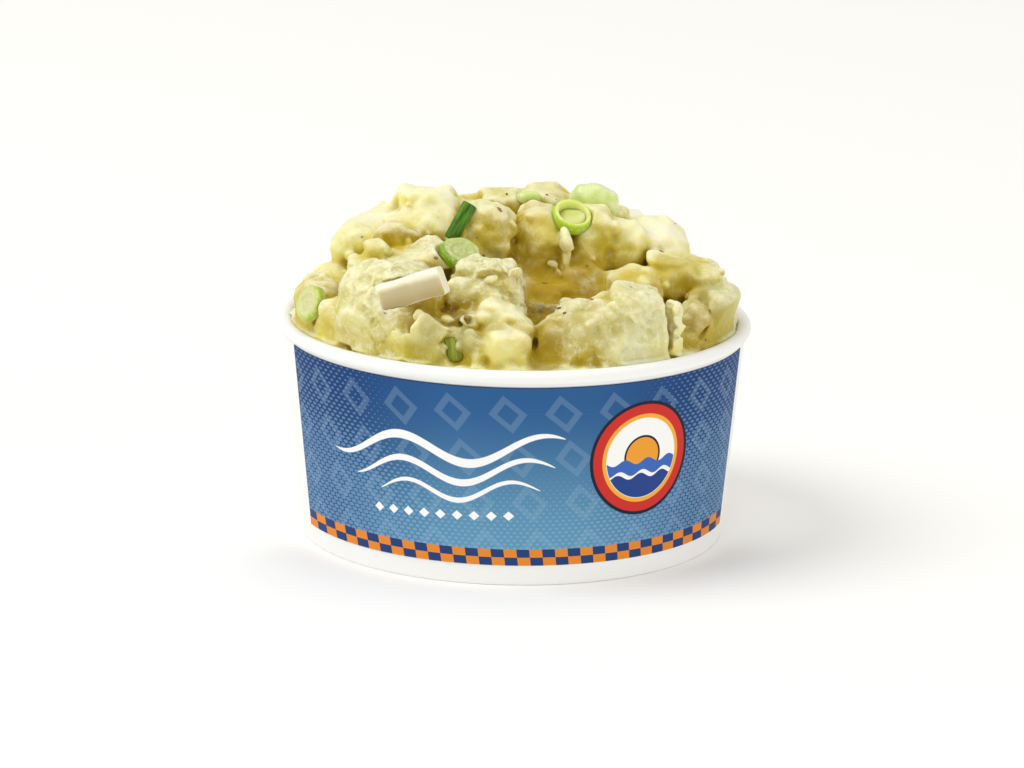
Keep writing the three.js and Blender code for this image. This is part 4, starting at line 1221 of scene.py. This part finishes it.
def onion_material(name, rim, pale, core, reach, lean=None):
    """Layers round a middle; the green rim is thickest on the side that lean points to, or even."""
    m = moist(name, 0.25, 2.2, (0.8, 1.0, 0.35), 0.35, 0.12, 1.38)
    x, y, _ = m.axes("local")
    out, wobble = length(x, y) / reach, m.noise(0.8, 3.0)
    if lean:
        side = (x * lean[0] + y * lean[1]) / reach
        green = (out + side * 0.26 + wobble * 0.14).ramp(0.98, 1.14)
    else:
        green = (out + wobble * 0.12).ramp(0.8, 1.02)
    layers = (out * 26.0 + wobble * 3.0).math("SINE").ramp(-0.2, 0.9)
    fuzz = m.noise(1.1, 3.0, 0.6)
    m.colour(
        pale, (green, rim), (layers * 0.24 * out.ramp(0.98, 0.8), core), (fuzz.ramp(0.5, 0.66) * 0.4, 0xE4E6BE))
    m.drive("Roughness", 0.24 + wobble * 0.25)
    m.bump(layers * 0.3 + wobble * 0.5 + fuzz * 0.6, 0.08, 0.4)
    return m


def chunk_material():
    m = moist("onion_chunk", 0.28, 1.6, (0.8, 1.0, 0.3), 0.4, 0.15, 1.38)
    x, _, z = m.axes("local")
    streaks = m.noise(0.8) * 2.0 + x * 2.4 + z * 0.5
    strands = m.noise(1.2)
    m.colour(
        0xCCDC7C, (m.noise(0.3, 3.0).ramp(0.3, 0.7), 0xEAEEBA),
        (streaks.math("SINE").ramp(0.2, 1.0) * 0.3, 0xD6E296), (strands.ramp(0.5, 0.8) * 0.4, 0xA4C042))
    m.bump(strands, 0.08, 0.4)
    return m


def leaf_material(name, dark, light):
    m = moist(name, 0.4, 0.5, (0.4, 1.0, 0.1), 0.1, 0.2, 1.35, soft=0.3)
    x, y, z = m.axes("local")
    along = m.node("ShaderNodeCombineXYZ", {"X": x * 2.4, "Y": y * 0.5, "Z": z * 0.25})
    streak = m.noise(1.0, 3.0, 0.6, along)
    m.colour(dark, (streak.ramp(0.35, 0.7), light), (m.noise(0.9).ramp(0.6, 0.8) * 0.3, 0x869E3A))
    m.drive("Roughness", 0.24 + streak * 0.2)
    m.bump(streak, 0.1, 0.5)
    return m


LOOKS = {
    "egg": (egg_material(), "egg"),
    "leaf": (leaf_material("leaf", 0x2E5C00, 0x609206), "leaf"),
    "pale_leaf": (leaf_material("pale_leaf", 0x76840A, 0x9EA83A), "leaf"),
    "onion": (onion_material("onion_cut", 0x80A204, 0xBEC67A, 0xA6B654, 4.1, (-0.58, -0.81)), "onion"),
    "faded": (onion_material("onion_faded", 0xB0BE4C, 0xD8D69A, 0xC4CA7C, 3.7), "onion"),
    "ring": (onion_material("onion_ring", 0xB0CC34, 0xDEE48A, 0xC8D65A, 4.3), "onion"),
    "chunk": (chunk_material(), "onion"),
}
TOPPING_STEP, TOPPING_ROOM = 0.2, 1.0

for name, look, at, turn, half, shape, *sizes in TOPPINGS:
    low = -np.array(half) - TOPPING_ROOM
    axes = (np.arange(low[k], half[k] + TOPPING_ROOM + TOPPING_STEP, TOPPING_STEP) for k in range(3))
    points, quads = surface(shape(np.meshgrid(*axes, indexing="ij"), *sizes), low, TOPPING_STEP)
    material, slot = LOOKS[look]
    place = points @ turn_matrix(turn).T + np.array(at)
    piece(mesh_object(name + "_real", place, quads, material, attributes={"local": points}), slot, name)


# ---- floor
FLOOR_SIZE = 3000.0
plain = Material("floor", Roughness=0.9, Specular_IOR_Level=0.0)
plain.colour(0xFCFBF8, (plain.noise(1.0, vector=plain.place(0.5)), 0xFDFCF9))
corners = FLOOR_SIZE * np.array([(-1, -1, 0), (1, -1, 0), (1, 1, 0), (-1, 1, 0)])
mesh_object("floor", corners, np.array([[0, 1, 2, 3]]), plain, smooth=False)
